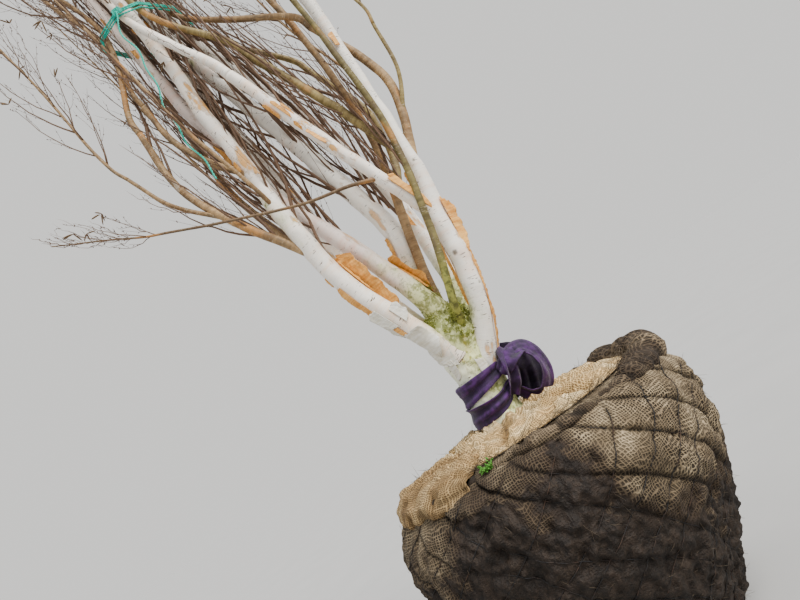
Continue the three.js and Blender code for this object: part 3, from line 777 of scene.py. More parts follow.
HEM_SACKING = sacking(
    "hem_sacking", (0.15, 0.11, 0.07), (0.30, 0.23, 0.15), (0.012, 0.0085, 0.006), (0.045, 0.031, 0.021), 0.8
)
dress(rolled_hem(), "dirty_sacking", ["cloth_hem"], HEM_SACKING)


# %% The clean sacking on top
def as_cloth(piece):
    """Turns the faces of a sheet upwards and gives it the thickness of sacking."""
    edit(piece, lambda: bpy.ops.mesh.normals_make_consistent(inside=False))
    if np.mean([face.normal.z for face in piece.data.polygons]) < 0:
        edit(piece, lambda: bpy.ops.mesh.flip_normals())
    apply_modifier(piece, "SOLIDIFY", thickness=0.003, offset=-1)
    smooth(piece)
    return piece


def top_sheet():
    piece, across, along = flat_grid("top_sacking", 260, 70)
    write_points(piece, around(1 + along, across * 2 * np.pi, 0.0))
    edit(piece, lambda: bpy.ops.mesh.remove_doubles(threshold=1e-5))
    flat = read_points(piece)
    b = np.arctan2(flat[:, 1], flat[:, 0])
    t = np.hypot(flat[:, 0], flat[:, 1]) - 1
    inner, outer = 68 * MM, 272 * MM
    r = inner + (outer - inner) * t
    fan = ridged(around(1.0, b, t * 0.5) * 0.3 * [1, 1, 0.5], 0.11, 41, 2)
    crumple = ridged(around(r, b, 0.0), 0.07, 42)
    lie = ramp(t, 0, 0.12) * ramp(t, 1.0, 0.8)
    z = BALL_TOP + 0.006 + 0.026 * np.maximum(1 - t, 0) ** 1.5 + lie * (0.012 * fan + 0.006 * crumple + 0.005)
    lowest = BALL_TOP + 0.0045
    above = z - 0.004 * ramp(t, 0.9, 1.0) - lowest
    z = lowest + (above + np.hypot(above, 0.004)) / 2
    write_points(piece, places(r * np.cos(b) + TRUNK_X * (1 - t), r * np.sin(b), z))
    give(piece, "down", r)
    # Where painted shade darkens the sheet: in the hollows of its folds.
    give(piece, "crease", ramp(fan + 0.4 * crumple, -0.2, -1.0) * lie)
    return as_cloth(piece)


CLEAN_SACKING = sacking(
    "clean_sacking", (0.70, 0.49, 0.25), (0.90, 0.71, 0.43), (0.22, 0.13, 0.05), (0.34, 0.24, 0.14), 0.35, 0.1
)
dress(top_sheet(), "clean_sacking", ["top_cloth"], CLEAN_SACKING)


# %% The straw lap at the left
# Distance from the axis and height, in metres, of a line over the lap, from its top edge to its tucked end.
LAP_CREST = [
    (0.195, 0.604), (0.245, 0.604), (0.292, 0.601), (0.329, 0.591), (0.351, 0.570), (0.356, 0.545), (0.330, 0.512),
]


def straw_lap():
    """The clean top sheet's own edge, drawn out over the rim at the left and tucked under the netting."""
    piece, along, over = flat_grid("straw_lap", 110, 46)
    b = np.radians(176 + 66 * along)
    fray = cloud(places(along * 0.4), 0.03, 45)
    t = np.clip(over + 0.03 * fray * over * (1 - over), 0, 1)
    r, z = (np.interp(t, np.linspace(0, 1, len(LAP_CREST)), column) for column in zip(*LAP_CREST))
    sides = ramp(along, 0, 0.12) * ramp(along, 1, 0.88)
    pleats = ridged(places(b * 0.3, over * 0.05), 0.05, 46)
    crumple = cloud(around(r, b, z), 0.045, 47)
    stand = 0.0025 * pleats + 0.004 * crumple - 0.022 * (1 - sides) ** 1.5
    steep = ramp(t, 0.35, 0.75)
    r = r * (1 + (lumps(b, HEM_HEIGHT) - 1) * steep) + stand * steep
    write_points(piece, around(r, b, z + stand * (1 - steep)))
    give(piece, "down", over * 0.26)
    # Where painted shade darkens the lap: in the hollows of its pleats.
    give(piece, "crease", 0.7 * ramp(pleats, -0.3, -0.9))
    give(piece, "mud", 0.30 * over * over)
    return as_cloth(piece)


STRAW_SACKING = sacking(
    "straw_sacking", (0.44, 0.29, 0.14), (0.68, 0.49, 0.265), (0.12, 0.075, 0.035), (0.20, 0.14, 0.085), 0.5, 0.5
)
dress(straw_lap(), "clean_sacking", [], STRAW_SACKING)

# %% [markdown]
# ## The limbs
# Each limb passes the same few points as its solid, and tapers between the same girths. The numbers are in
# millimetres, foot first: where it leaves the trunk, its shoulder, knee and belly, and where the two ties hold it.

# %% Points of the limbs
TRUNK_LINE = [(-27, 0, 563), (-26, 0, 600), (-24, 0, 640), (-21, 0, 730), (-19, 0, 800), (-15, 2, 855), (-12, 6, 905)]
TRUNK_GIRTH = [80, 63, 55, 52, 59, 60, 30]
STEMS = {
    "stem_right": [
        [(-6, -10, 700), (72, -42, 862), (106, -49, 1060), (138, -50, 1400), (118, -40, 1950), (-222, -38, 2650)],
        [26, 24, 27, 17, 15, 12],
    ],
    "stem_left": [
        [(-30, -26, 780), (-100, -54, 925), (-166, -63, 1100), (-205, -60, 1430), (-246, -32, 1950), (-328, -50, 2650)],
        [25, 24, 24, 20, 16, 12],
    ],
    "stem_middle": [
        [(0, -4, 850), (-33, -8, 963), (-100, -3, 1130), (-205, 4, 1410), (-300, 2, 1950), (-374, -4, 2650)],
        [27, 26, 22, 18, 15, 11],
    ],
    "stem_rear": [
        [(-24, 22, 850), (-24, 44, 985), (-1, 62, 1130), (-64, 64, 1400), (-210, 42, 1950), (-312, 34, 2650)],
        [26, 26, 26, 23, 16, 12],
    ],
    "stem_back_left": [
        [(-34, 24, 790), (-84, 72, 920), (-132, 106, 1090), (-176, 118, 1400), (-244, 84, 1950), (-346, 74, 2650)],
        [24, 23, 22, 19, 15, 11],
    ],
    "stem_back_right": [
        [(6, 24, 790), (46, 76, 915), (60, 112, 1090), (18, 124, 1400), (-168, 84, 1950), (-268, 64, 2650)],
        [23, 22, 21, 18, 15, 11],
    ],
    "stem_slim": [
        [(-6, 8, 870), (0, 22, 960), (28, 30, 1090), (92, 34, 1400), (44, 56, 2000), (-262, 6, 2650)],
        [13, 13, 12, 10, 8, 6],
    ],
    "shoot_front": [
        [(6, -30, 830), (32, -80, 915), (78, -86, 1065), (128, -84, 1370), (62, -78, 2000), (-244, -86, 2650)],
        [11, 10, 9, 8, 6, 5],
    ],
}
# Each bough: the limb it grows from, the height it leaves at, its points and its girths.
BOUGHS = {
    "bough_front": ["stem_right", 1085, [(52, -92, 1215), (-32, -104, 1420), (-112, -106, 1640)], [17, 16, 15, 13]],
    "bough_left": ["stem_left", 1165, [(-284, -86, 1318), (-366, -84, 1490), (-380, -70, 1670)], [11, 10, 9, 8]],
    "bough_left_upper": ["stem_left", 1425, [(-268, -66, 1500), (-322, -58, 1610), (-342, -42, 1740)], [9, 9, 8, 7]],
    "bough_crossing": ["stem_right", 1250, [(98, -22, 1350), (20, -28, 1540), (-58, -40, 1715)], [12, 12, 11, 10]],
    "bough_right": ["stem_right", 1205, [(178, -30, 1330), (200, -12, 1450), (120, 0, 1680)], [12, 12, 11, 10]],
    "bough_back_left": [
        "stem_back_left", 1180, [(-244, 172, 1320), (-306, 182, 1490), (-318, 150, 1680)], [11, 11, 10, 9],
    ],
    "bough_back_right": [
        "stem_back_right", 1200, [(112, 178, 1320), (128, 190, 1480), (60, 172, 1670)], [11, 11, 10, 9],
    ],
    "spur_front": ["stem_left", 1290, [(-214, -118, 1390), (-246, -140, 1500)], [6, 5, 4.5]],
    "spur_left": ["bough_left", 1360, [(-396, -112, 1450), (-448, -128, 1560)], [6, 5, 4.5]],
    "spur_right": ["bough_right", 1340, [(232, -38, 1440), (246, -42, 1570)], [6, 5, 4.5]],
    "spur_back_left": ["bough_back_left", 1350, [(-300, 226, 1450), (-338, 248, 1570)], [6, 5, 4.5]],
    "spur_back_right": ["bough_back_right", 1350, [(150, 226, 1450), (158, 244, 1570)], [6, 5, 4.5]],
    "shoot_stray": [
        "bough_front", 1225, [(-20, -128, 1240), (-130, -138, 1265), (-300, -146, 1330), (-440, -132, 1398)],
        [5, 4, 3.6, 3.2, 3],
    ],
}


class Limb:
    """A tapering limb: its curve, and its radius at any share of its length."""

    def __init__(self, name, points_mm, girths_mm):
        self.name = name
        self.curve = Curve(np.array(points_mm, float) * MM, (len(points_mm) - 1) * 20)
        self.shares = self.curve.lengths[::20] / self.curve.length
        self.girths = np.array(girths_mm, float) * MM

    def radius(self, share):
        return np.interp(share, self.shares, self.girths)


LIMBS = {"trunk": Limb("trunk", TRUNK_LINE, TRUNK_GIRTH)}
for name, (points, girths) in STEMS.items():
    LIMBS[name] = Limb(name, points, girths)
for name, (parent, leaves, points, girths) in BOUGHS.items():
    curve = LIMBS[parent].curve
    foot = curve.at(curve.share_at_height(leaves * MM)) / MM
    LIMBS[name] = Limb(name, [tuple(foot), *points], girths)


def share_of(limb_name, z):
    """The share of a limb's length at which it passes a height in metres."""
    return LIMBS[limb_name].curve.share_at_height(z)


print(len(LIMBS), "limbs,", round(sum(limb.curve.length for limb in LIMBS.values()), 1), "m in all")

# %% [markdown]
# ## Bark
# A limb is a rolled grid laid along its curve. Its relief comes from moving the points in and out: slow swellings,
# collars where boughs leave, eyes where old twigs broke off, and the flare at its foot. Each point keeps its
# place on the bark as it would lie unrolled, so that the fine dark dashes run round the stem and not along it.


# %% Eyes and collars
def gather_eyes(limb, dice):
    """Old twig scars: share along, bearing round, and size (1 is a middling one)."""
    count = int(limb.curve.length * (7 if limb.radius(0.0) > 0.014 else 10))
    chance = ((0.08, 0.97), (-math.pi, math.pi), (0.5, 1.15))
    return [tuple(dice.between(*span) for span in chance) for _ in range(count)]


def gather_collars(limb):
    """Where boughs leave this limb: share along, the direction that they leave in, and their girth there."""
    found = []
    for name, (parent, leaves, _, _) in BOUGHS.items():
        if parent == limb.name:
            share = limb.curve.share_at_height(leaves * MM)
            child = LIMBS[name]
            found.append((share, unit(child.curve.at(0.12) - limb.curve.at(share)), child.girths[0]))
    return found


def swell_at_marks(limb, turn, along, out, eyes):
    """How much wider a limb is at its eyes and under its boughs, and how dark its bark is there."""
    length = limb.curve.length
    swell, tone = np.zeros(len(turn)), np.zeros(len(turn))
    for at, bearing, big in eyes:
        r0 = limb.radius(at)
        gap = (turn - bearing + np.pi) % (2 * np.pi) - np.pi
        tall, wide = 0.0055 * big + 0.12 * r0, 0.0045 * big + 0.16 * r0
        near = ((along - at * length) / tall) ** 2 + (gap * r0 / wide) ** 2
        swell += 0.10 * big * np.exp(-near * 0.35) - 0.05 * big * np.exp(-near * 3)
        tone = np.maximum(tone, np.exp(-near * 1.2) * min(1.0, 0.55 + 0.3 * big))
    for at, direction, thick_child in gather_collars(limb):
        facing = np.clip((out * direction).sum(1), 0, 1)
        near = np.exp(-(((along - at * length) / (thick_child * 1.7)) ** 2)) * facing**1.5
        swell += 0.28 * near * thick_child / limb.radius(at)
        tone = np.maximum(tone, 0.45 * near)
    return swell, tone


print("collars on the right stem:", len(gather_collars(LIMBS["stem_right"])))

# %% Relief of a limb
# The limbs that are green at their foot: how green, and the lengths up the limb where it ends and where it is full.
GREEN_FEET = {
    "shoot_front": (0.9, 0.34, 0.04), "stem_rear": (0.55, 0.45, 0.05), "stem_middle": (0.55, 0.45, 0.05),
    "stem_back_right": (0.55, 0.45, 0.05),
}


def bark_limb(limb, sides, pitch, seed, own_eyes=(), foot_flare=0.22):
    """A limb, or the leader of a mass, with its bark's relief."""
    name, length = limb.name, limb.curve.length
    rings = max(12, int(length / pitch))
    piece, turn, share = tube("bark_" + name, sides, rings)
    line = limb.curve.at(np.linspace(0, 1, rings + 1))
    _, a, b = cross_frames(line)
    ring = np.clip(np.rint(share * rings).astype(int), 0, rings)
    middle = line[ring]
    out = np.cos(turn)[:, None] * a[ring] + np.sin(turn)[:, None] * b[ring]
    radius, along = limb.radius(share), share * length
    p = middle + out * radius[:, None]
    crook = places(*(cloud(middle, 0.22, seed + 2 + k, 2) for k in range(3)))
    crook *= (0.0035 * np.minimum(radius / 0.02, 1) * ramp(share, 0, 0.15) * ramp(share, 1, 0.97))[:, None]
    swell, eye_tone = swell_at_marks(limb, turn, along, out, [*gather_eyes(limb, Dice(seed * 31 + 5)), *own_eyes])
    swell += 1 + 0.05 * cloud(p, 0.16, seed, 2) + 0.018 * cloud(p, 0.035, seed + 1, 2)
    swell += foot_flare * np.exp(-along / 0.035)
    if name == "trunk":
        flutes = 0.055 * np.sin(5 * turn + 0.7) + 0.04 * np.sin(3 * turn + 2.2)
        swell += flutes * ramp(along, 0.13, 0.0) + 0.05 * cloud(p, 0.07, seed + 9, 3)
    p = middle + out * (radius * swell)[:, None] + crook
    write_points(piece, p)
    give(piece, "grain", around(radius, turn, along + 3.7 * seed))
    give(piece, "eye", eye_tone)
    give(piece, "young", ramp(radius, 0.0112, 0.0055))
    fork = np.exp(-(((p[:, 2] - 0.885) / 0.075) ** 2)) * ramp(np.hypot(p[:, 0] - 0.005, p[:, 1]), 0.13, 0.04)
    share_green, ends, full = GREEN_FEET.get(name, (0, 1, 0))
    green = 0.85 * fork + share_green * ramp(along, ends, full) + 0.35 * eye_tone
    if name == "trunk":
        green += 0.22 + 0.45 * ramp(p[:, 0], -0.07, 0.03)
    give(piece, "green", np.clip(green, 0, 1))
    return piece


# %% Materials of the bark
def white_bark(name, tint=(0.90, 0.86, 0.78), blush=(0.83, 0.64, 0.52), peel=0.35, algae=1.0):
    """Papery white bark: dark dashes across it, a pink blush, tan peelings and a green film of algae."""
    f = Finish(name, roughness=0.6)
    grain, place = f.own_vector("grain"), f.place()
    eye, green, young = f.own("eye"), f.own("green"), f.own("young")
    bands = f.drawn(grain, (9.0, 9.0, 60.0))
    fine = f.drawn(grain, (30.0, 30.0, 420.0), 3.0)
    dash_shape = f.drawn(grain, (62.0, 62.0, 460.0), 1.5, 0.4)
    dash_where = f.noise(grain, 24.0, 2.0)
    dashes = dash_shape.ramp(0.655, 0.70) * dash_where.ramp(0.44, 0.58)
    blotch = f.noise(grain, 7.0, 4.0)
    colour = f.mix(tint, blush, (blotch * 0.8 + bands * 0.45).ramp(0.60, 0.82) * 0.75)
    colour = f.shade(colour, 0.84 + bands * 0.16 + fine * 0.16)
    torn = f.drawn(grain, (24.0, 24.0, 9.0), 6.0, 0.62)
    tan = torn.ramp(0.66 - 0.10 * peel, 0.69 - 0.10 * peel)
    colour = f.mix(colour, f.mix((0.60, 0.31, 0.10), (0.80, 0.52, 0.25), fine), tan * min(1.0, 2.2 * peel))
    edge = torn.ramp(0.63 - 0.10 * peel, 0.655 - 0.10 * peel) * (1 - tan)
    colour = f.mix(colour, (0.34, 0.22, 0.13), edge * 0.8 * peel)
    twiggy = f.mix((0.30, 0.16, 0.075), (0.54, 0.34, 0.17), bands)
    colour = f.mix(colour, twiggy, young * 0.9)
    colour = f.mix(colour, (0.11, 0.075, 0.05), dashes * 0.95)
    film = f.noise(place, 70.0, 5.0, 0.72)
    broad = f.noise(place, 14.0, 3.0)
    damp = f.noise(f.stretched(place, (1.0, 1.0, 0.35)), 7.0, 3.0).ramp(0.60, 0.72) * 0.42
    mossy = (green * 1.1 * algae + damp + broad * 0.75 + film * 0.55 - 0.80).ramp(0.06, 0.70)
    alga = f.mix((0.68, 0.70, 0.36), (0.25, 0.28, 0.06), (film + green * 0.10).ramp(0.52, 0.66))
    colour = f.mix(colour, alga, mossy * 0.85)
    colour = f.mix(colour, (0.12, 0.085, 0.055), eye.ramp(0.5, 0.95) * 0.85)
    height = fine * 0.35 + bands * 0.6 - dashes * 0.5 + tan * -0.7 + mossy * film * 1.2
    normal = f.bump(height, 0.0011, 0.8)
    return f.paint(colour, 0.52 + mossy * 0.35 + fine * 0.12, normal)


def brown_bark(name, low=(0.235, 0.145, 0.072), high=(0.52, 0.355, 0.19)):
    """Bark of a younger bough: brown to olive, with coppery patches and pale dashes."""
    f = Finish(name, roughness=0.62)
    grain, place = f.own_vector("grain"), f.place()
    eye, green = f.own("eye"), f.own("green")
    bands = f.drawn(grain, (22.0, 22.0, 90.0))
    fine = f.drawn(grain, (60.0, 60.0, 480.0), 3.0)
    blotch = f.noise(grain, 9.0, 4.0)
    colour = f.mix(low, high, (blotch * 0.7 + bands * 0.5).ramp(0.45, 0.8))
    copper = f.drawn(grain, (14.0, 14.0, 6.0))
    colour = f.mix(colour, (0.58, 0.29, 0.10), copper.ramp(0.54, 0.64) * 0.65)
    pale = f.noise(f.stretched(grain, (10.0, 10.0, 5.0)), 1.3, 4.0)
    colour = f.mix(colour, (0.62, 0.55, 0.45), pale.ramp(0.64, 0.68) * 0.7)
    rind = f.drawn(grain, (45.0, 45.0, 13.0), 5.0, 0.65)
    colour = f.mix(colour, (0.17, 0.125, 0.075), rind.ramp(0.50, 0.64) * 0.7)
    colour = f.shade(colour, 0.66 + fine * 0.60)
    dashes = f.drawn(grain, (90.0, 90.0, 420.0), 1.0).ramp(0.66, 0.72)
    colour = f.mix(colour, (0.58, 0.50, 0.38), dashes * 0.55)
    film = f.noise(place, 60.0, 4.0, 0.65)
    mossy = (green * 0.9 + film * 0.8 + f.noise(place, 6.0, 2.0) * 0.5 - 0.82).ramp(0.05, 0.6)
    colour = f.mix(colour, f.mix((0.40, 0.41, 0.11), (0.11, 0.12, 0.03), film.ramp(0.40, 0.62)), mossy * 0.8)
    colour = f.mix(colour, (0.07, 0.05, 0.035), eye.ramp(0.45, 0.95) * 0.8)
    normal = f.bump(fine * 0.5 + bands + film * 0.4, 0.0009, 0.8)
    return f.paint(colour, 0.55 + film * 0.2, normal)


# %% Trunk, stems and boughs
WHITE = white_bark("white_bark")
WHITE_PINK = white_bark("white_bark_blush", (0.88, 0.77, 0.70), (0.78, 0.54, 0.44), 0.3)
WHITE_TORN = white_bark("white_bark_torn", (0.90, 0.84, 0.755), (0.82, 0.60, 0.42), 0.5)
BROWN = brown_bark("brown_bark")
OLIVE = brown_bark("olive_bark", (0.20, 0.145, 0.06), (0.46, 0.36, 0.16))
MOSSY = brown_bark("mossy_bark", (0.13, 0.10, 0.04), (0.30, 0.25, 0.10))
DARK = brown_bark("dark_bark", (0.13, 0.08, 0.045), (0.27, 0.18, 0.10))
LIMB_FINISH = {
    "stem_right": WHITE, "stem_left": WHITE_TORN, "stem_middle": WHITE_PINK, "stem_rear": WHITE,
    "stem_back_left": WHITE_TORN, "stem_back_right": WHITE, "stem_slim": BROWN, "shoot_front": MOSSY,
    "bough_front": WHITE_TORN, "shoot_stray": DARK,
}
for number, name in enumerate(BOUGHS):
    LIMB_FINISH.setdefault(name, OLIVE if number % 3 == 0 else BROWN)
TRUNK_WHITE = white_bark("trunk_bark", (0.90, 0.89, 0.70), (0.76, 0.66, 0.42), 0.5, 1.3)
BIG_EYES = {"stem_right": [(share_of("stem_right", 0.987), -0.35, 1.6), (share_of("stem_right", 1.22), 0.2, 1.2)]}
dress(bark_limb(LIMBS["trunk"], 84, 0.0035, 11, foot_flare=0.0), "white_bark", ["trunk"], TRUNK_WHITE)
for number, name in enumerate(STEMS):
    stout = LIMBS[name].girths[0] > 0.02
    sides, pitch = (30, 0.0055) if stout else (16, 0.007)
    limb_piece = bark_limb(LIMBS[name], sides, pitch, 20 + number, BIG_EYES.get(name, []))
    dress(limb_piece, "white_bark" if stout else "brown_bark", [name], LIMB_FINISH[name])
for number, name in enumerate(BOUGHS):
    limb_piece = bark_limb(LIMBS[name], 10 if LIMBS[name].girths[0] < 0.008 else 18, 0.006, 40 + number)
    dress(limb_piece, "white_bark" if name == "bough_front" else "brown_bark", [name], LIMB_FINISH[name])

# %% [markdown]
# ## Twigs
# A mass of twigs grows on from the end of a limb. Its leader passes a few points; twigs leave it by the seeded
# rule of the solids, are turned or cut short where they would leave the mass's own space, and here each of them
# carries finer twigs, buds and catkins in its turn. More twigs clothe the stems and boughs below, as they do on
# the real tree, all drawn upwards by the ties.

# %% Masses and their leaders
MASSES = {
    "stem_right": ([(-196, -170, 3980)], 11, 430),
    "stem_left": ([(-420, -190, 4080)], 11, 430),
    "stem_middle": ([(-560, -40, 4180)], 11, 430),
    "stem_rear": ([(-400, 20, 4380)], 11, 430),
    "stem_back_left": ([(-500, 190, 4060)], 11, 420),
    "stem_back_right": ([(-270, 200, 4150)], 11, 420),
    "stem_slim": ([(-200, 20, 3800)], 9, 360),
    "shoot_front": ([(-290, -300, 3620)], 9, 340),
    "bough_front": ([(-256, -84, 1950), (-276, -150, 2260), (-330, -310, 3280)], 12, 400),
    "bough_left": ([(-326, -50, 1950), (-428, -96, 2260), (-600, -230, 3260)], 12, 400),
    "bough_left_upper": ([(-344, -16, 1950), (-448, 6, 2260), (-660, 30, 3420)], 12, 400),
    "bough_crossing": ([(-214, -72, 1950), (-196, -140, 2260), (-150, -300, 3160)], 12, 380),
    "bough_right": ([(-160, 16, 1950), (-108, 84, 2260), (-10, 90, 3300)], 12, 400),
    "bough_back_left": ([(-294, 112, 1950), (-340, 190, 2260), (-470, 330, 3240)], 12, 400),
    "bough_back_right": ([(-150, 124, 1950), (-146, 196, 2260), (-130, 320, 3260)], 12, 400),
    "spur_front": ([(-330, -190, 1900), (-440, -260, 2420)], 7, 320),
    "spur_left": ([(-520, -130, 1900), (-620, -140, 2380)], 7, 320),
    "spur_right": ([(160, -70, 1900), (90, -110, 2420)], 7, 320),
    "spur_back_left": ([(-410, 240, 1900), (-520, 270, 2400)], 7, 320),
    "spur_back_right": ([(70, 250, 1900), (10, 300, 2420)], 7, 320),
    "shoot_stray": ([(-580, -112, 1478), (-700, -105, 1545)], 6, 170),
}
GOLDEN_ANGLE = 2.39996
TWIG_CLEAR = 3 * MM
LEADER_TIP_R = 1.2 * MM
LOW_TIE_Z = 1.95
HIGH_TIE_Z = 2.65


class Leader:
    """The stem of a mass: it starts at its limb's end, in line with it, and passes the mass's points."""

    def __init__(self, name, limb, line, count, reach):
        self.name = name
        end, heading = limb.curve.at(1.0), limb.curve.heading(1.0)
        start = end + heading * 0.35 * MM
        self.curve = Curve([start, start + heading * 45 * MM, *(np.array(line) * MM)])
        self.limb, self.count, self.reach = limb, count, reach * MM
        self.foot = limb.girths[-1]
        self.spots = self.curve.at(np.linspace(0, 1, 25))

    def radius(self, share):
        return self.foot + (LEADER_TIP_R - self.foot) * np.power(share, 0.8)


LEADERS = {}
for name, (line, count, reach) in MASSES.items():
    mass_name = "twigs_stray" if name == "shoot_stray" else "twigs_" + name
    LEADERS[mass_name] = Leader(mass_name.replace("twigs", "leader"), LIMBS[name], line, count, reach)
print(len(LEADERS), "masses,", round(sum(leader.curve.length for leader in LEADERS.values()), 1), "m of leaders")


# %% Room for twigs
def gap_to(lines, p):
    """Distance from each point in p (N, 3) to each bent line in lines (M, K, 3), as (N, M)."""
    a, b = lines[None, :, :-1], lines[None, :, 1:]
    ab = b - a
    t = np.clip(((p[:, None, None] - a) * ab).sum(-1) / (ab * ab).sum(-1), 0, 1)
    return np.linalg.norm(p[:, None, None] - (a + ab * t[..., None]), axis=-1).min(-1)


LEADER_LINES = np.stack([leader.spots for leader in LEADERS.values()])
LIMB_LINES = np.stack([limb.curve.at(np.linspace(0, 1, 41)) for limb in LIMBS.values()])
LIMB_THICK = np.array([max(limb.girths[-3:]) for limb in LIMBS.values()])
LIMB_NAMES = list(LIMBS)


def stays_free(p, own, limb_name):
    """Whether points stay in a mass's own space and clear of the limbs and of the two ties."""
    away = gap_to(LEADER_LINES, p)
    strays = np.delete(away, own, 1) < away[:, own : own + 1] + 2 * TWIG_CLEAR
    touches = gap_to(LIMB_LINES, p) < LIMB_THICK + TWIG_CLEAR
    touches[:, LIMB_NAMES.index(limb_name)] = False
    high = (np.abs(p[:, 2] - HIGH_TIE_Z) < 0.07) & (np.hypot(p[:, 0] + 0.296, p[:, 1]) < 0.135)
    low = (np.abs(p[:, 2] - LOW_TIE_Z) < 0.07) & (np.hypot(p[:, 0] + 0.248, p[:, 1] - 0.014) < 0.185)
    return not (strays.any() or touches.any() or high.any() or low.any())


def sideways(heading, bearing, lift=0.0):
    """A direction square to a heading, at a bearing."""
    return square_to(np.array([math.cos(bearing), math.sin(bearing), lift]), heading)


def twig_corners(foot, heading, bearing, length):
    """The three corners of a twig's bend: it leaves at a slant and turns upwards."""
    side = sideways(heading, bearing)
    middle = foot + unit(heading * 0.86 + side * 0.5) * length * 0.5
    up = unit(np.array([0, 0, 0.5]) + heading * 0.7 + side * 0.12)
    return foot, middle, middle + up * length * 0.55


def bend(corners, s):
    """Points at shares s of a bend."""
    a, b, c = corners
    s = np.asarray(s)[:, None]
    return a * (1 - s) ** 2 + b * 2 * s * (1 - s) + c * s * s


print("limbs to keep clear of:", len(LIMB_LINES))


# %% Twigs of the masses
def grow(leader, own, count, dice):
    """Twigs of one leader by the seeded rule: the corners of each one's bend."""
    grown = []
    for i in range(count):
        share = 0.04 + 0.92 * ((i + dice() * 0.6) / count)
        bearing = i * GOLDEN_ANGLE + dice() * 0.8
        wanted = leader.reach * (1 - 0.62 * share) * (0.75 + 0.5 * dice())
        foot, heading = leader.curve.at(share), leader.curve.heading(share)
        for cut, turn in [(c, t) for c in (1, 0.7, 0.5) for t in (0, 2.1, 4.2)]:
            corners = twig_corners(foot, heading, bearing + turn, wanted * cut)
            if stays_free(bend(corners, [0.25, 0.5, 0.75, 1.0]), own, leader.limb.name):
                grown.append(corners)
                break
    return grown


MORE_TWIGS = 34
crown = {}
for index, (name, leader) in enumerate(LEADERS.items()):
    more = MORE_TWIGS if leader.count > 8 else MORE_TWIGS // 2
    crown[name] = grow(leader, index, leader.count, Dice(101 + index * 17))
    crown[name] += grow(leader, index, more, Dice(9001 + index * 13))
print("twigs on leaders:", sum(len(twigs) for twigs in crown.values()))


# %% Twigs that clothe the limbs
def from_the_front(p):
    """Where places lie as seen from before the tree: sideways and upwards, for each metre of distance."""
    away = p - np.array([0.0, -1.65, 0.76])
    return away[:, [0, 2]] / away[:, 1:2]


FRONT_NAMES = ("stem_right", "stem_left", "stem_middle", "bough_front")
FRONT_STEMS = np.concatenate([LIMBS[name].curve.at(np.linspace(0.12, 1, 120)) for name in FRONT_NAMES])
FRONT_SEEN = from_the_front(FRONT_STEMS)


def hides_stem(p):
    """The share of a twig that would hang before one of the white front stems, which show clear in the photograph."""
    gap = np.linalg.norm(from_the_front(p)[:, None] - FRONT_SEEN[None], axis=2)
    return np.mean((gap.min(1) < 0.013) & (p[:, 1] < FRONT_STEMS[gap.argmin(1), 1]))


# How far from the crown's middle line the low twigs may reach, in metres: heights, and the reach at each.
CROWN_ROOM = [1.1, 1.5, 1.75, 1.95, 2.2, 2.6], [0.40, 0.36, 0.26, 0.16, 0.2, 0.12]


def clothe(limb, count, dice, low, high):
    """Long thin twigs along a limb, drawn up close to it."""
    grown = []
    heights = limb.curve.at(np.linspace(0, 1, 60))[:, 2]
    for i in range(count):
        z = low + (high - low) * (i + dice()) / count
        if z < heights[0] + 0.03 or z > heights[-1] - 0.02:
            continue
        share = limb.curve.share_at_height(z)
        foot, heading = limb.curve.at(share), limb.curve.heading(share)
        bearing = i * GOLDEN_ANGLE + dice()
        length = dice.between(0.25, 0.75) * min(1.0, 0.35 + limb.radius(share) / 0.02)
        side = sideways(heading, bearing)
        sway = np.array([dice.between(-1, 1), dice.between(-1, 1), 0.0]) * 0.06
        middle = foot + unit(heading + side * dice.between(0.28, 0.55)) * length * 0.5
        aim = unit(heading * 0.8 + np.array([-0.12, 0, 0.75]) - side * dice.between(0.0, 0.22))
        corners = (foot, middle, middle + (aim + sway) * length * 0.55)
        p = bend(corners, [0.4, 0.7, 1.0])
        touch = gap_to(LIMB_LINES, p) < LIMB_THICK
        touch[:, LIMB_NAMES.index(limb.name)] = False
        off_middle = np.hypot(p[:, 0] + 0.22 + (p[:, 2] - LOW_TIE_Z) * 0.12, p[:, 1] - 0.01)
        inside = off_middle < np.interp(p[:, 2], *CROWN_ROOM)
        if not touch.any() and inside.all() and hides_stem(bend(corners, np.linspace(0.1, 1, 12))) < 0.25:
            grown.append(corners)
    return grown


LOWEST_TWIG, HIGHEST_TWIG = 1.12, 2.62
low_twigs = []
for number, (name, limb) in enumerate(LIMBS.items()):
    if name in ("trunk", "shoot_stray"):
        continue
    top = min(HIGHEST_TWIG, limb.curve.at(1.0)[2])
    count = int((50 if name in STEMS else 44) * max(0.2, top - LOWEST_TWIG))
    low_twigs += clothe(limb, count, Dice(5003 + number * 19), LOWEST_TWIG, top)
print("twigs on limbs:", len(low_twigs))


# %% Finer twigs, buds and catkins
def finer(corners, dice, spacing, slant):
    """Small twigs on both sides of a twig, in turn."""
    whole = bend(corners, np.linspace(0, 1, 9))
    length = np.linalg.norm(np.diff(whole, axis=0), axis=1).sum()
    grown = []
    count = int(length / spacing)
    turn = dice() * 6.28
    for i in range(count):
        s = 0.16 + 0.8 * (i + 0.6 * dice()) / max(count, 1)
        spot = np.interp(s, np.linspace(0, 1, 9), np.arange(9))
        k = min(int(spot), 7)
        foot = whole[k] + (whole[k + 1] - whole[k]) * (spot - k)
        heading = unit(whole[k + 1] - whole[k])
        side = sideways(heading, turn + i * GOLDEN_ANGLE, 0.25)
        small = length * (1 - 0.6 * s) * dice.between(0.16, 0.42)
        middle = foot + unit(heading + side * slant) * small * 0.5
        tip = middle + unit(heading * 0.85 + side * 0.28 + np.array([0, 0, 0.35])) * small * 0.55
        grown.append((foot, middle, tip))
    return grown


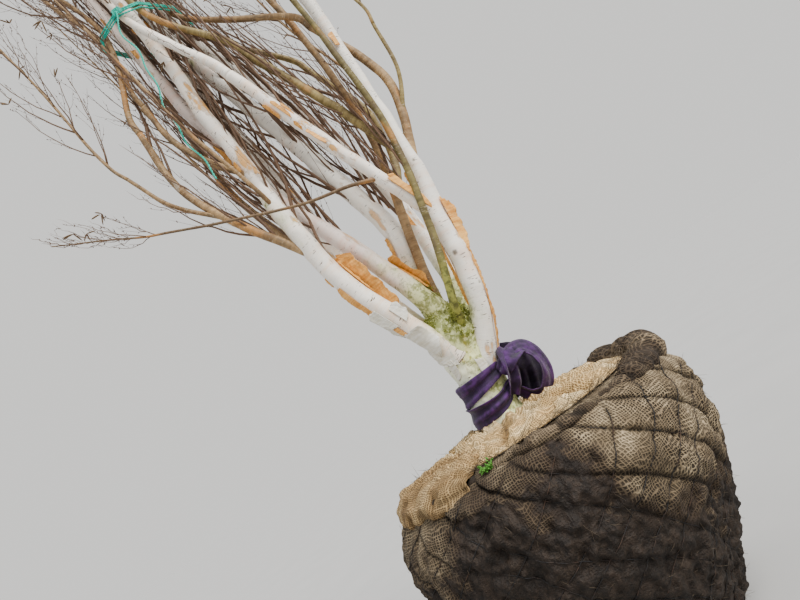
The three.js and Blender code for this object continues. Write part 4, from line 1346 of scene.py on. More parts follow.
def rods_of(corners, foot_r, tip_r, steps):
    """Lines and radii for many bends at once."""
    c = np.array(corners)
    s = np.linspace(0, 1, steps)
    lines = bend((c[:, :1], c[:, 1:2], c[:, 2:]), s)
    size = np.linalg.norm(c[:, 2] - c[:, 0], axis=1)[:, None]
    taper = foot_r + (tip_r - foot_r) * s[None, :] ** 0.85
    return lines, taper * np.clip(size / 0.30, 0.45, 1.6)


def add_kinks(lines, amount, seed):
    """Small zigzags, as twigs bend a little at each bud."""
    rng = np.random.default_rng(seed)
    kink = rng.normal(0, 1, lines.shape) * amount
    kink[:, 0] = 0
    return lines + kink


def thick_twigs(bundle, corners, foot_r, seed, sides=5, steps=9):
    """The twigs that leave the limbs and the leaders."""
    lines, radii = rods_of(corners, foot_r, 0.55 * MM, steps)
    rng = np.random.default_rng(seed)
    tints = rng.integers(0, 4, len(lines))
    bundle.add(add_kinks(lines, 0.0016, seed), radii * rng.uniform(0.6, 1.1, (len(lines), 1)), sides, tints)


def thin_twigs(bundle, corners, seed):
    """The finer twigs. Returns their lines, for the buds and catkins."""
    lines, radii = rods_of(corners, 1.15 * MM, 0.35 * MM, 5)
    radii = np.clip(radii, 0.35 * MM, 1.3 * MM)
    tints = np.random.default_rng(seed).integers(0, 4, len(lines))
    bundle.add(add_kinks(lines, 0.0012, seed), radii, 3, tints)
    return lines


def buds_on(bundle, lines, seed, each):
    """Pointed buds that stand off the twigs."""
    rng = np.random.default_rng(seed)
    count = len(lines) * each
    which = np.repeat(np.arange(len(lines)), each)
    step = rng.integers(1, lines.shape[1] - 1, count)
    foot = lines[which, step]
    heading = unit(lines[which, step + 1] - foot)
    aim = unit(heading + square_to(rng.normal(size=(count, 3)), heading) * 0.75)
    length = rng.uniform(4.0, 7.0, (count, 1)) * MM
    line = np.stack([foot, foot + aim * length * 0.4, foot + aim * length], 1)
    bundle.add(line, np.tile([0.5 * MM, 1.25 * MM, 0], (count, 1)), 3, 0)


def catkins_on(bundle, lines, seed, share):
    """Winter catkins, three together at the tips of a share of the twigs."""
    rng = np.random.default_rng(seed)
    tips = lines[rng.random(len(lines)) < share]
    head = unit(tips[:, -1] - tips[:, -2])
    foot = tips[:, -1] - head * MM
    s = np.linspace(0, 1, 6)
    for _ in range(3):
        aim = unit(head * 0.6 + rng.normal(0, 0.42, (len(tips), 3)) + [0, 0, -0.35])
        length = rng.uniform(20, 32, (len(tips), 1)) * MM
        line = foot[:, None] + aim[:, None] * (length[:, None] * s[None, :, None])
        line[:, :, 2] -= 0.004 * s**2
        bundle.add(line, np.tile(np.array([0.6, 1.5, 1.75, 1.7, 1.3, 0]) * MM, (len(tips), 1)), 5, 0)


print("finer twigs on the first low twig:", len(finer(low_twigs[0], Dice(1), 0.085, 0.5)))

# %% The leaders and their twigs
for number, (name, leader) in enumerate(LEADERS.items()):
    stout = leader.foot > 0.010
    bark = bark_limb(leader, 16 if stout else 10, 0.009, 70 + number, foot_flare=0.0)
    dress(bark, "brown_bark", [name], LIMB_FINISH[leader.limb.name])

groups = {
    "crown_twigs_a": ["twigs_stem_right", "twigs_stem_left", "twigs_stem_middle", "twigs_stem_rear"],
    "crown_twigs_b": ["twigs_stem_back_left", "twigs_stem_back_right", "twigs_stem_slim", "twigs_shoot_front"],
    "crown_twigs_c": ["twigs_bough_front", "twigs_bough_left", "twigs_bough_left_upper", "twigs_bough_crossing"],
    "crown_twigs_d": ["twigs_bough_right", "twigs_bough_back_left", "twigs_bough_back_right"],
    "crown_twigs_e": [n for n in LEADERS if n.startswith("twigs_spur")] + ["twigs_stray"],
}


def twig_finish(name, colour, deep):
    """A plain finish with darker flecks, for all that is thin."""
    f = Finish(name, roughness=0.55)
    place = f.place()
    fleck = f.noise(place, 300.0, 2.0)
    normal = f.bump(f.noise(place, 700.0, 2.0), 0.0004, 0.5)
    return f.paint(f.mix(colour, deep, fleck.ramp(0.35, 0.7) * 0.5), 0.5 + fleck * 0.2, normal)


TWIG_FINISHES = [
    twig_finish("twig_dark", (0.19, 0.115, 0.07), (0.09, 0.055, 0.038)),
    twig_finish("twig_brown", (0.36, 0.215, 0.11), (0.17, 0.10, 0.055)),
    twig_finish("twig_tan", (0.56, 0.375, 0.195), (0.30, 0.19, 0.10)),
    twig_finish("twig_olive", (0.38, 0.315, 0.135), (0.19, 0.15, 0.065)),
]
buds, catkins = Bundle(), Bundle()
for number, (group, names) in enumerate(groups.items()):
    bundle = Bundle()
    for place, name in enumerate(names):
        seed = 7000 + number * 100 + place
        dice = Dice(seed)
        thick_twigs(bundle, crown[name], 2.3 * MM, seed)
        small = [c for corners in crown[name] for c in finer(corners, dice, 0.042, 0.62)]
        fine = thin_twigs(bundle, small, seed + 1)
        buds_on(buds, fine, seed + 2, 2)
        catkins_on(catkins, fine, seed + 3, 0.05)
    dress(bundle.piece(group), "twig_bark", names, *TWIG_FINISHES)

# %% The low twigs, the buds and the catkins
bundle = Bundle()
dice = Dice(8111)
thick_twigs(bundle, low_twigs, 3.3 * MM, 8112, 6, 11)
small = [c for corners in low_twigs for c in finer(corners, dice, 0.085, 0.5)]
fine = thin_twigs(bundle, small, 8113)
buds_on(buds, fine, 8114, 2)
dress(bundle.piece("low_twigs"), "twig_bark", [], *TWIG_FINISHES)
BUD_SCALES = twig_finish("bud_scales", (0.16, 0.085, 0.05), (0.08, 0.04, 0.03))
CATKIN_SCALES = twig_finish("catkin_scales", (0.20, 0.125, 0.06), (0.09, 0.05, 0.03))
dress(buds.piece("buds"), "twig_bark", [], BUD_SCALES)
dress(catkins.piece("catkins"), "twig_bark", [], CATKIN_SCALES)

# %% [markdown]
# ## Peeling bark
# Birch bark lifts in thin sheets. A flap leaves the stem along one edge, in line with the surface, and bends by
# its own curl: it follows the stem, stands straight off or rolls back. It is a small grid with a torn outline,
# and Solidify gives it the thickness of paper.


# %% Flaps of bark
PAPER = 0.7 * MM
SKIN_STEPS = 160  # steps along a limb at which the directions across it are kept


def skin_frames(limb):
    """Two directions across a limb at even steps along it."""
    return cross_frames(limb.curve.at(np.linspace(0, 1, SKIN_STEPS)))[1:]


def flap(limb, low, high, bearing, way, width, curl, seed, torn=1.0):
    """One torn sheet between two shares of a limb. Curl 1 hugs the stem, 0 stands straight, below 0 rolls back."""
    length = (high - low) * limb.curve.length
    across, along = max(5, int(width / 0.0022)), max(8, int(length / 0.003))
    piece, u, v = flat_grid("flap", across, along)
    rng = np.random.default_rng(seed)
    inner = [rng.uniform(*span) for span in ((0.04, 0.16), (0.3, 0.45), (0.55, 0.7), (0.84, 0.95))]
    foot, belly, chest, tip = (rng.uniform(*span) for span in ((0.05, 0.3), (0.7, 1.0), (0.75, 1.0), (0.3, 0.7)))
    spread = np.interp(v, [0.0, *inner, 1.0], [foot, 0.6, belly, chest, 0.9, tip])
    spread += 0.05 * torn * cloud(places(v * length), 0.02, seed + 1)
    d = u * width * np.clip(spread, 0.08, 1.2)
    ragged = cloud(places(u * width, 0.0, seed), 0.012, seed)
    slant = rng.uniform(-0.5, 0.5) * width / length
    share = low + (high - low) * (v + (slant * (u - 0.3) + 0.02 * ragged) * (2 * np.abs(v - 0.5)))
    k = np.clip(np.rint(share * (SKIN_STEPS - 1)).astype(int), 0, SKIN_STEPS - 1)
    a, b = (across_limb[k] for across_limb in skin_frames(limb))
    out = np.cos(bearing) * a + np.sin(bearing) * b
    along_skin = way * (-np.sin(bearing) * a + np.cos(bearing) * b)
    r = limb.radius(share) * 1.06 + 0.0006
    bow = (curl + 0.22 * cloud(places(v * length), 0.07, seed + 2, 2)) / r
    bow = np.where(np.abs(bow) < 1e-3, 1e-3, bow)
    reach, dip = np.sin(bow * d) / bow, (1 - np.cos(bow * d)) / bow
    ripple = 0.0012 * cloud(places(v * length, u * width), 0.010, seed + 3, 2) * u
    middle = limb.curve.at(np.clip(share, 0, 1))
    write_points(piece, middle + out * (r - dip + ripple)[:, None] + along_skin * reach[:, None])
    apply_modifier(piece, "SOLIDIFY", thickness=PAPER, offset=1, material_offset=1)
    smooth(piece)
    return piece


def join(pieces, name):
    """One piece made of several."""
    bpy.ops.object.select_all(action="DESELECT")
    for piece in pieces:
        piece.select_set(True)
    bpy.context.view_layer.objects.active = pieces[0]
    bpy.ops.object.join()
    joined = bpy.context.object
    joined.name = name
    joined.data.name = name
    return joined


def flap_at(limb_name, z_low, z_high, degrees, way, width, curl, seed):
    """A flap between two heights of a limb, in metres."""
    shares = share_of(limb_name, z_low), share_of(limb_name, z_high)
    return flap(LIMBS[limb_name], *shares, math.radians(degrees), way, width, curl, seed, 0.6)


print("steps along a limb:", SKIN_STEPS)

# %% The flaps and their places
# For each flap: its limb, the heights of its ends, the bearing it leaves at, its way round, width, curl and seed.
TAN_FLAPS = [
    ("stem_right", 0.985, 1.115, 48, 1, 0.042, 0.05, 501),
    ("stem_right", 0.835, 0.985, 62, 1, 0.017, 0.1, 502),
    ("stem_right", 0.745, 0.850, 66, 1, 0.020, 0.0, 503),
    ("stem_right", 0.865, 1.030, -64, -1, 0.016, 0.2, 504),
    ("stem_right", 1.030, 1.210, -58, -1, 0.013, 0.3, 505),
    ("stem_left", 0.930, 1.060, -130, -1, 0.020, 0.1, 506),
    ("stem_left", 0.935, 1.125, 150, -1, 0.060, 0.0, 507),
    ("stem_left", 1.010, 1.120, 70, 1, 0.018, 0.1, 508),
    ("stem_middle", 0.955, 1.030, 60, 1, 0.022, 0.25, 509),
    ("stem_rear", 1.030, 1.130, -50, -1, 0.016, 0.2, 510),
    ("bough_front", 1.10, 1.21, 10, 1, 0.022, 0.3, 511),
    ("trunk", 0.700, 0.752, 96, 1, 0.030, 0.2, 512),
    ("stem_left", 0.895, 1.075, -48, -1, 0.024, 0.35, 513),
    ("trunk", 0.812, 0.838, -58, -1, 0.034, -0.4, 514),
    ("stem_middle", 0.935, 1.060, 128, -1, 0.040, 0.1, 515),
]
PALE_FLAPS = [
    ("stem_left", 0.822, 0.905, -84, 1, 0.060, 0.72, 601),
    ("trunk", 0.790, 0.842, -80, 1, 0.040, 0.70, 609),
    ("trunk", 0.735, 0.790, -60, 1, 0.026, 0.55, 602),
    ("trunk", 0.768, 0.840, -28, -1, 0.060, 0.28, 612),
    ("trunk", 0.722, 0.760, 5, 1, 0.022, 0.5, 603),
    ("stem_left", 0.895, 0.950, -80, -1, 0.034, -0.1, 604),
    ("stem_left", 0.925, 0.985, -35, -1, 0.032, 0.1, 605),
    ("stem_left", 0.955, 1.010, -120, -1, 0.030, -0.3, 606),
    ("stem_left", 0.915, 0.960, 10, 1, 0.030, 0.0, 610),
    ("trunk", 0.745, 0.790, -110, -1, 0.026, -0.1, 611),
    ("trunk", 0.770, 0.850, 150, 1, 0.045, 0.7, 607),
    ("trunk", 0.720, 0.800, -150, -1, 0.040, 0.6, 608),
]
tan_flaps, pale_flaps = [flap_at(*row) for row in TAN_FLAPS], [flap_at(*row) for row in PALE_FLAPS]
WHITE_LIMBS = [name for name in STEMS if name.startswith("stem") and name != "stem_slim"] + ["bough_front"]
SMALL_FLAPS = 44
dice = Dice(733)
for i in range(SMALL_FLAPS):
    limb = LIMBS[WHITE_LIMBS[i % len(WHITE_LIMBS)]]
    low = dice.between(0.14, 0.9)
    high = low + dice.between(0.02, 0.075) / limb.curve.length
    bearing, width = dice.between(-math.pi, math.pi), dice.between(0.006, 0.018)
    way, curl = 1 if dice() > 0.5 else -1, dice.between(-0.4, 0.7)
    tan_flaps.append(flap(limb, low, high, bearing, way, width, curl, 520 + i))


def flap_finish(name, low, high):
    """Thin bark, streaked across."""
    f = Finish(name, roughness=0.6)
    place = f.place()
    streak = f.drawn(place, (25.0, 25.0, 260.0))
    stain = f.noise(place, 40.0, 4.0)
    broad = f.noise(place, 18.0, 3.0)
    colour = f.mix(low, high, (streak * 0.6 + stain * 0.3 + broad * 0.3).ramp(0.42, 0.78))
    return f.paint(colour, 0.5 + stain * 0.25, f.bump(streak, 0.0006, 0.6))


FLAP_TAN = flap_finish("flap_tan", (0.60, 0.27, 0.07), (0.90, 0.53, 0.19))
FLAP_PALE = flap_finish("flap_pale", (0.66, 0.62, 0.50), (0.84, 0.82, 0.76))
FLAP_INNER = flap_finish("flap_inner", (0.44, 0.18, 0.05), (0.72, 0.37, 0.12))
dress(join(tan_flaps, "peeling_bark"), "white_bark", [], FLAP_TAN, FLAP_INNER)
dress(join(pale_flaps, "curled_bark"), "white_bark", [], FLAP_PALE, FLAP_INNER)

# %% [markdown]
# ## Moss
# Moss sits in the fork where rain runs down. It is a crowd of short curved blades, set on the bark of the trunk's
# top and the feet of the stems.


# %% Moss in the fork
def skin_point(limb, share, turn):
    """A place on a limb's bark and the direction out of it."""
    a, b = (across_limb[round(share * (SKIN_STEPS - 1))] for across_limb in skin_frames(limb))
    out = math.cos(turn) * a + math.sin(turn) * b
    return limb.curve.at(share) + out * limb.radius(share) * 1.02, out


FORK = np.array([0.008, -0.012, 0.895])
MOSSY_FEET = ["trunk", "stem_rear", "stem_middle", "stem_left", "stem_back_right", "stem_back_left", "shoot_front"]
TUFTS = 130


def room_between(p, limb):
    """How far a place on one limb is from the bark of the nearest other limb."""
    line = np.linspace(0, 1, 60)
    others = (other for other in LIMBS.values() if other is not limb)
    return min((np.linalg.norm(p - other.curve.at(line), axis=1) - other.radius(line)).min() for other in others)


def moss_tufts():
    """Places in the fork where moss can sit: near another limb, but not inside it."""
    dice = Dice(911)
    tufts = []
    while len(tufts) < TUFTS:
        limb = LIMBS[MOSSY_FEET[int(dice() * len(MOSSY_FEET))]]
        p, out = skin_point(limb, dice(), dice.between(-math.pi, math.pi))
        if np.linalg.norm((p - FORK) * [1.2, 1, 0.75]) < 0.075 and out[2] > -0.3:
            if 0.0 < room_between(p, limb) < 0.022:
                tufts.append((p, out, dice.between(0.5, 1.0)))
    return tufts


def moss():
    """Tufts of short blades on those places."""
    bundle, lines = Bundle(), []
    rng = np.random.default_rng(912)
    for p, out, big in moss_tufts():
        for _ in range(int(30 * big)):
            foot = p + rng.normal(0, 0.0055, 3) * big
            aim = unit(out * 0.7 + rng.normal(0, 0.55, 3) + [0, 0, 0.35])
            long = rng.uniform(0.003, 0.008) * big
            lines.append([foot - out * 0.002, foot + aim * long * 0.6, foot + aim * long + [0, 0, -0.1 * long]])
    radii = np.tile([0.0008, 0.0007, 0.0], (len(lines), 1))
    bundle.add(np.array(lines), radii, 3, rng.integers(0, 3, len(lines)))
    return bundle.piece("moss")


dress(
    moss(), "white_bark", [],
    twig_finish("moss_green", (0.40, 0.43, 0.11), (0.20, 0.22, 0.055)),
    twig_finish("moss_dark", (0.22, 0.225, 0.06), (0.11, 0.112, 0.032)),
    twig_finish("moss_yellow", (0.64, 0.63, 0.24), (0.40, 0.40, 0.14)),
)

# %% [markdown]
# ## The lifting strap
# Violet webbing goes twice round the trunk and is hitched at the right, where it bunches up and hangs out in a
# loop. Each run is a grid laid along a path, with pleats pressed in along it, thickened by Solidify. The two
# turns feel for the trunk's own surface, so that they lie on the bark.


# %% Webbing
WEB_THICK = 2.4 * MM


def webbing(name, path, facing, width, seed, pleat=0.0028, steps=90):
    """A band along a path. Path, facing and width give its middle, the way it looks and its width at shares of it."""
    piece, v, along = flat_grid(name, 22, steps)
    middle = path(along)
    head = unit(path(np.minimum(along + 1e-3, 1)) - path(np.maximum(along - 1e-3, 0)))
    face = square_to(facing(along, middle), head)
    wide = width(along)
    q = places(v * 0.042, along * 0.12)
    fold = ridged(q * [1, 0.22, 1], 0.034, seed, 2)
    rise = pleat * fold + 0.0012 * cloud(q, 0.03, seed + 1)
    write_points(piece, middle + np.cross(head, face) * ((v - 0.5) * wide)[:, None] + face * rise[:, None])
    give(piece, "across", v * wide)
    # How deep each fold lies, kept for the painted shade in the folds.
    give(piece, "deep", ramp(fold, 0.1, -0.7))
    apply_modifier(piece, "SOLIDIFY", thickness=WEB_THICK, offset=1)
    apply_modifier(piece, "SUBSURF", levels=1, render_levels=1)
    smooth(piece)
    return piece


# %% Turns that feel for the trunk
trunk_skin = read_points(bpy.data.objects["bark_trunk"])
trunk_turn = np.arctan2(trunk_skin[:, 1], trunk_skin[:, 0] - TRUNK_X)
trunk_out = np.hypot(trunk_skin[:, 0] - TRUNK_X, trunk_skin[:, 1])


def trunk_reach(turn, z):
    """How far the trunk's bark stands out from its middle at bearings and heights: the most within a thumb's width."""
    found = []
    for one_turn, one_z in zip(turn, z):
        gap = (trunk_turn - one_turn + np.pi) % (2 * np.pi) - np.pi
        near = (np.abs(gap) < 0.16) & (np.abs(trunk_skin[:, 2] - one_z) < 0.022)
        found.append(trunk_out[near].max() if near.any() else 0.055)
    return np.array(found)


HITCH_TURN = -0.30


def turn_of_strap(name, left_z, right_z, pull, seed):
    """One turn of webbing round the trunk, pulled up or down at its hitch."""
    share = np.linspace(0, 1, 61)
    turn = HITCH_TURN + share * 2 * np.pi
    from_hitch = np.minimum(share, 1 - share) * 2 * np.pi
    z = left_z + (right_z - left_z) * (np.cos(turn) + 1) / 2 + pull * np.exp(-((from_hitch / 0.75) ** 2))
    reach = trunk_reach(turn, z) + 0.0022
    spots = around(reach, turn, z) + [TRUNK_X, 0, 0]
    spots = np.vstack([spots[:1], (spots[:-2] + 2 * spots[1:-1] + spots[2:]) / 4, spots[-1:]])
    path = lambda s: places(*(np.interp(s, share, column) for column in spots.T))
    facing = lambda s, p: (p - [TRUNK_X, 0, 0]) * [1, 1, 0]
    wide = lambda s: 0.032 + 0.022 * (1 - np.exp(-((np.minimum(s, 1 - s) / 0.24) ** 2)))
    return webbing(name, path, facing, wide, seed, steps=170)


upper_turn = turn_of_strap("strap_turn_upper", 0.696, 0.712, 0.002, 61)
lower_turn = turn_of_strap("strap_turn_lower", 0.643, 0.640, 0.022, 65)
print("bark at the strap stands out", trunk_reach([0.0, 3.0], [0.65, 0.65]).round(3), "m")


# %% The hitch, the loop and the end
RIB_PITCH = 1.6 * MM


def strap_finish(name, low, high):
    """Ribbed webbing, with painted shade in its folds."""
    f = Finish(name, roughness=0.6, Sheen_Weight=0.25)
    across, deep, place = f.own("across"), f.own("deep"), f.place()
    ribs = (across * (2 * math.pi / RIB_PITCH)).sine() * 0.5 + 0.5
    soft = f.noise(place, 60.0, 4.0)
    streaks = f.noise(f.stretched(place, (30.0, 30.0, 30.0)), 2.0, 3.0)
    colour = f.mix(low, high, (soft * 0.7 + streaks * 0.5).ramp(0.40, 0.78))
    colour = f.shade(colour, 0.80 + ribs * 0.25)
    # Painted shade: the webbing is darkened in the hollows of its folds.
    colour = f.mix(colour, (0.012, 0.006, 0.02), deep * 0.6)
    return f.paint(colour, 0.55 + soft * 0.2, f.bump(ribs + soft * 0.5, 0.0005, 0.7))


STRAP = strap_finish("violet_webbing", (0.026, 0.007, 0.045), (0.095, 0.024, 0.15))
# A copy of the webbing with shade painted into its colour, for the end that hangs in the shade behind the loop.
STRAP_PAINTED_SHADE = strap_finish("violet_webbing_shaded", (0.012, 0.004, 0.018), (0.028, 0.009, 0.042))
# The middle lines of the runs, in millimetres.
HITCH_LINE = [
    (20, -44, 642), (36, -56, 662), (48, -60, 690), (54, -54, 716), (60, -38, 737), (58, -14, 741), (46, 6, 722),
    (36, 14, 700),
]
FOLD_LINE = [(26, -50, 700), (44, -62, 712), (64, -58, 720), (80, -44, 722), (88, -28, 716)]
LOOP_LINE = [
    (46, -24, 712), (66, -28, 726), (92, -29, 727), (112, -28, 704), (118, -26, 664), (106, -24, 630), (84, -22, 612),
    (56, -24, 622), (38, -30, 646),
]
END_LINE = [(44, 4, 728), (70, 12, 712), (84, 18, 680), (78, 18, 640), (64, 14, 606)]


def run(name, line, facing, width, seed, pleat):
    """One run of webbing. Width is that at its start, that at its end, and how much more it is in the middle."""
    start, end, swell = width
    wide = lambda s: start + (end - start) * s + swell * np.sin(np.pi * s)
    return webbing(name, Curve(np.array(line, float) * MM).at, facing, wide, seed, pleat)


outward = lambda centre: (lambda s, p: p - np.array(centre) * MM)
tipped = lambda s, p: unit(outward((84, -26, 668))(s, p)) + [0, -0.85, 0]
frontward = lambda s, p: np.tile([0.2, -1.0, 0.1], (len(p), 1))
hitch = run("hitch", HITCH_LINE, outward((16, -14, 692)), (0.030, 0.030, 0.012), 71, 0.004)
fold = run("hitch_fold", FOLD_LINE, outward((46, -20, 680)), (0.034, 0.034, 0.010), 75, 0.004)
dress(join([upper_turn, lower_turn, hitch, fold], "strap_round_trunk"), "strap", ["strap_turns"], STRAP)
dress(run("strap_eye_loop", LOOP_LINE, tipped, (0.046, 0.036, 0), 81, 0.0026), "strap", ["strap_loop"], STRAP)
dress(run("strap_end", END_LINE, frontward, (0.072, 0.064, 0), 85, 0.004), "strap", [], STRAP_PAINTED_SHADE)

# %% [markdown]
# ## Twine
# The twine is two strands laid round each other. It takes the outline of a taut cord round all that it ties, the
# convex hull, as the solid does, in several turns that cross a little.


# %% Where a cord lies round a bundle
def hull_round(circles, away):
    """The outline of a taut cord round circles (x, y, radius), a little away from them."""
    spots = sorted(
        (x + (r + away) * math.cos(k / 16 * 2 * math.pi), y + (r + away) * math.sin(k / 16 * 2 * math.pi))
        for x, y, r in circles for k in range(16)
    )
    left = lambda o, a, b: (a[0] - o[0]) * (b[1] - o[1]) - (a[1] - o[1]) * (b[0] - o[0]) > 0

    def chain(some):
        kept = []
        for s in some:
            while len(kept) > 1 and not left(kept[-2], kept[-1], s):
                kept.pop()
            kept.append(s)
        return kept[:-1]

    return np.array(chain(spots) + chain(spots[::-1]))


def circles_at(z, held):
    """The circles that limbs and leaders make at a height, and just above and below it."""
    found = []
    for one in held:
        for level in (z - 0.007, z, z + 0.007):
            share = one.curve.share_at_height(level)
            x, y, _ = one.curve.at(share)
            found.append((x, y, float(one.radius(share)) * 1.06 / one.curve.heading(share)[2]))
    return found


def in_front(circles, gap):
    """The place that lies a gap before the foremost circle."""
    x, y, r = min(circles, key=lambda circle: circle[1] - circle[2])
    return x, y - r - gap


print("corners round one circle:", len(hull_round([(0, 0, 1)], 0)))

# %% Twine
TWINE_LAY = 16 * MM
STRAND_R = 1.45 * MM
STRAND_OFF = 1.25 * MM


def twisted(bundle, line):
    """Two strands wound round a line of points."""
    lengths = np.concatenate([[0], np.cumsum(np.linalg.norm(np.diff(line, axis=0), axis=1))])
    count = max(8, int(lengths[-1] / 0.0035))
    even = np.linspace(0, lengths[-1], count)
    middle = places(*(np.interp(even, lengths, column) for column in line.T))
    _, a, b = cross_frames(middle)
    for half in (0, np.pi):
        turn = (even / TWINE_LAY * 2 * np.pi + half)[:, None]
        strand = middle + (a * np.cos(turn) + b * np.sin(turn)) * STRAND_OFF
        radii = np.full(count, STRAND_R)
        radii[-1] = 0
        bundle.add(strand[None], radii[None], 5, 0)


def tie(name, z, turns, held, seed):
    """Turns of twine round a bundle, with a knot at its front."""
    bundle, rng = Bundle(), np.random.default_rng(seed)
    circles = circles_at(z, held)
    for i in range(turns):
        outline = hull_round(circles, 0.0028 + 0.0008 * (i % 2))
        outline = np.vstack([outline, outline[:1]])
        level = z + (i - (turns - 1) / 2) * 0.0046
        height = level + (outline - outline.mean(0)) @ rng.uniform(-0.03, 0.03, 2)
        twisted(bundle, np.column_stack([outline, height]))
    s = np.pi * np.linspace(0, 1, 26)
    for k in range(3):
        loop = places(0.010 * np.cos(2 * s + k), -0.0045 * np.abs(np.sin(3 * s)), 0.009 * np.sin(4 * s + k))
        twisted(bundle, loop + [*in_front(circles, 0.005), z])
    return bundle.piece(name)


def twine_finish():
    f = Finish("green_twine", roughness=0.45)
    place = f.place()
    fibre = f.noise(place, 500.0, 3.0)
    worn = f.noise(place, 30.0, 3.0)
    colour = f.mix((0.02, 0.40, 0.30), (0.09, 0.66, 0.52), (fibre * 0.6 + worn * 0.5).ramp(0.35, 0.75))
    return f.paint(colour, 0.4 + fibre * 0.25, f.bump(fibre, 0.0004, 0.6))


TWINE = twine_finish()
low_held = [LIMBS[name] for name in ("stem_left", "stem_middle", "stem_rear", "stem_back_left", "stem_back_right")]
low_held += [leader for name, leader in LEADERS.items() if name.startswith("twigs_bough")]
dress(tie("low_tie", LOW_TIE_Z, 4, low_held, 91), "twine", ["twine_low"], TWINE)
dress(tie("high_tie", HIGH_TIE_Z - 12 * MM, 3, [LIMBS[name] for name in STEMS], 92), "twine", ["twine_high"], TWINE)

# %% The loose end of the twine
# How far its points lie from the low tie's front: to the right, backwards and upwards, in millimetres.
SWAY = np.array([(0, 0, -2), (-12, -16, -50), (-4, -26, -170), (-22, -34, -350), (-6, -30, -520)], float)
hung_from = np.array([*in_front(circles_at(LOW_TIE_Z, low_held), 0.012), LOW_TIE_Z])
wave = Curve(hung_from + SWAY * MM).at(np.linspace(0, 1, 120))
wave[:, 0] += 0.004 * np.sin(np.linspace(0, 30, 120))
loose = Bundle()
twisted(loose, wave)
dress(loose.piece("twine_end"), "twine", ["twine_tail"], TWINE)

# %% [markdown]
# ## Loose fibres and a weed
# Old sacking frays. Fibres stand off its surface and fringe its edge, and a small weed has sprouted in the hem.


# %% Fibres
def fibre_lines(foot, out, long, lift, rng):
    """Thin hairs that leave a surface and curl. Long and lift are the least and the most of each."""
    count = len(foot)
    long, lift = rng.uniform(*long, count), rng.uniform(*lift, count)
    side = square_to(rng.normal(size=(count, 3)), out)
    curl = rng.normal(size=(count, 3)) * 0.5
    s = np.linspace(0, 1, 6)[None, :, None]
    aim = unit(side + out * lift[:, None])
    line = foot[:, None] + aim[:, None] * s * long[:, None, None]
    return line + curl[:, None] * (s**2) * long[:, None, None] * 0.6 - out[:, None] * 0.0015


rng = np.random.default_rng(77)
hair = Bundle()
SIDE_HAIRS, HEM_HAIRS, TOP_HAIRS = 1500, 1700, 500


def add_hairs(lines, thickness_mm, tints):
    """Hairs of one kind, with their thickness at each step from foot to tip."""
    hair.add(lines, np.tile(np.array(thickness_mm) * MM, (len(lines), 1)), 3, tints)


b, z = rng.uniform(-np.pi, np.pi, SIDE_HAIRS), rng.uniform(0.06, 0.565, SIDE_HAIRS)
lines = fibre_lines(on_cloth(b, z), unit(around(1.0, b, (z - 0.35) * 1.2)), (0.008, 0.026), (0.05, 0.5), rng)
lines[:, :, 2] = np.maximum(lines[:, :, 2], 0.002)
add_hairs(lines, [0.35, 0.35, 0.32, 0.3, 0.25, 0], rng.integers(0, 2, SIDE_HAIRS))
b, r = rng.uniform(-np.pi, np.pi, HEM_HAIRS), rng.uniform(0.250, 0.292, HEM_HAIRS)
foot = around(r, b, 0.5765 + 0.35 * hem_thickness(b) * (r - 0.255) / 0.04)
lines = fibre_lines(foot, unit(around(-0.4, b, 1.0)), (0.012, 0.045), (0.02, 0.5), rng)
add_hairs(lines, [0.5, 0.5, 0.45, 0.4, 0.32, 0], rng.integers(0, 2, HEM_HAIRS) + 1)
b, r = rng.uniform(-np.pi, np.pi, TOP_HAIRS), rng.uniform(0.08, 0.26, TOP_HAIRS)
foot = around(r, b, 0.588 + 0.02 * (1 - (r - 0.08) / 0.18))
lines = fibre_lines(foot, np.tile([0, 0, 1.0], (TOP_HAIRS, 1)), (0.010, 0.030), (0.05, 0.5), rng)
add_hairs(lines, [0.4, 0.4, 0.36, 0.32, 0.28, 0], 2)
dress(
    hair.piece("loose_fibres"), "dirty_sacking", [],
    twig_finish("fibre_dark", (0.17, 0.13, 0.085), (0.09, 0.07, 0.05)),
    twig_finish("fibre_grey", (0.40, 0.32, 0.22), (0.24, 0.18, 0.12)),
    twig_finish("fibre_straw", (0.66, 0.50, 0.29), (0.46, 0.34, 0.19)),
)


# %% The weed in the hem
WEED_FOOT = np.array([-0.104, -0.292, 0.566])
WEED_STALKS = 26


def weed():
    """A rosette of stalks, each with three small leaves."""
    rng = np.random.default_rng(55)
    bundle, stalks = Bundle(), []
    for i in range(WEED_STALKS):
        turn = i * GOLDEN_ANGLE
        aim = unit(np.array([math.cos(turn) * 0.9, math.sin(turn) * 0.9 - 0.3, rng.uniform(0.5, 1.3)]))
        long = rng.uniform(0.012, 0.026)
        stalks.append([WEED_FOOT, WEED_FOOT + aim * long * 0.5, WEED_FOOT + aim * long + [0, 0, -0.003]])
    stalks = np.array(stalks)
    bundle.add(stalks, np.tile([0.0004, 0.0004, 0.0], (len(stalks), 1)), 3, 0)
    s = np.linspace(0, 1, 6)
    for stalk in stalks:
        for k in (0.55, 0.8, 1.0):
            start = stalk[0] * (1 - k) + stalk[2] * k
            aim = unit(rng.normal(0, 0.7, 3) + [0, -0.3, 0.5])
            line = start + aim * (s[:, None] * rng.uniform(0.005, 0.009))
            bundle.add(line[None], np.array([[0.0004, 0.0014, 0.002, 0.0018, 0.001, 0]]), 4, 0)
    return bundle.piece("weed")


dress(weed(), "twig_bark", [], twig_finish("weed_green", (0.12, 0.30, 0.05), (0.06, 0.17, 0.03)))

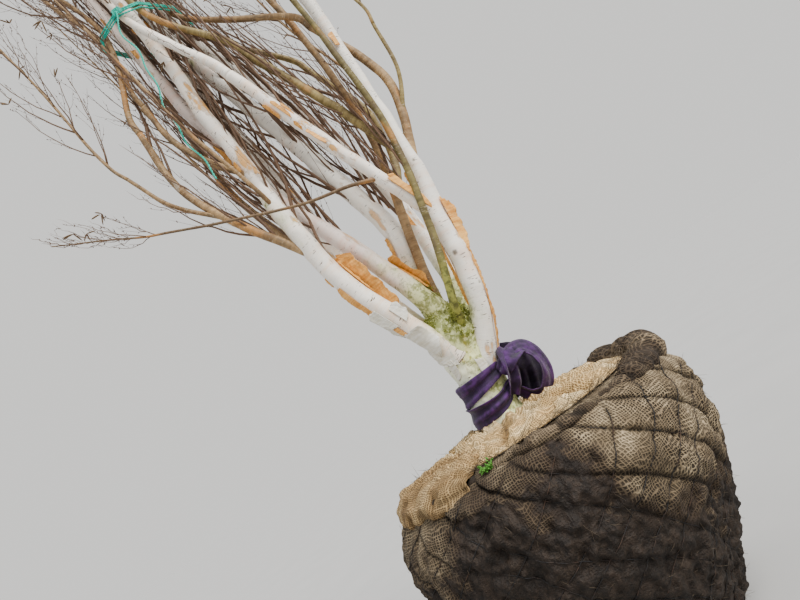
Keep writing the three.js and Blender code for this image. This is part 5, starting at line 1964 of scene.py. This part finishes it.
# %% [markdown]
# ## Floor and light
# A wide pale floor runs out to the sky's own colour, so that no hard line crosses the picture. The light is that
# of an overcast day: a large soft sun from above the camera's right, and an even sky.


# %% Floor, sky and lamps
def pale_floor():
    piece = added("floor", bpy.ops.mesh.primitive_circle_add, vertices=96, radius=60, fill_type="NGON")
    f = Finish("pale_floor", roughness=0.9)
    fine = f.noise(f.place(), 3.0, 4.0)
    piece.data.materials.append(f.paint(f.mix((0.46, 0.455, 0.44), (0.51, 0.50, 0.485), fine)))


def soft_sun(name, towards, strength, spread, colour):
    """A lamp that shines from a direction, with soft edges to its shadows."""
    lamp = added(name, bpy.ops.object.light_add, type="SUN")
    back = unit(towards)
    side = unit(np.cross([0.0, 1.0, 0.2], back))
    lamp.matrix_world = Matrix(np.stack([side, np.cross(back, side), back], 1).tolist()).to_4x4()
    lamp.data.energy = strength
    lamp.data.angle = math.radians(spread)
    lamp.data.color = colour


pale_floor()
soft_sun("sky_light", (0.56, -0.42, 0.82), 3.8, 45, (1.0, 0.985, 0.96))
soft_sun("fill_light", (-0.7, -0.6, 0.25), 0.45, 60, (0.93, 0.96, 1.0))


def overcast_sky(lit, seen):
    """An even sky: one brightness that lights the tree, and one that shows behind it, the same as the floor's."""
    world = bpy.data.worlds.new("overcast")
    bpy.context.scene.world = world
    world.use_nodes = True
    nodes, links = world.node_tree.nodes, world.node_tree.links
    light = nodes["Background"]
    light.inputs["Color"].default_value, light.inputs["Strength"].default_value = lit
    backdrop = nodes.new("ShaderNodeBackground")
    backdrop.inputs["Color"].default_value, backdrop.inputs["Strength"].default_value = seen
    choice = nodes.new("ShaderNodeMixShader")
    links.new(nodes.new("ShaderNodeLightPath").outputs["Is Camera Ray"], choice.inputs[0])
    links.new(light.outputs[0], choice.inputs[1])
    links.new(backdrop.outputs[0], choice.inputs[2])
    links.new(choice.outputs[0], nodes["World Output"].inputs["Surface"])


bpy.context.scene.view_settings.look = "AgX - Medium High Contrast"
overcast_sky(((0.80, 0.83, 0.87, 1.0), 0.68), ((0.735, 0.730, 0.714, 1.0), 1.0))
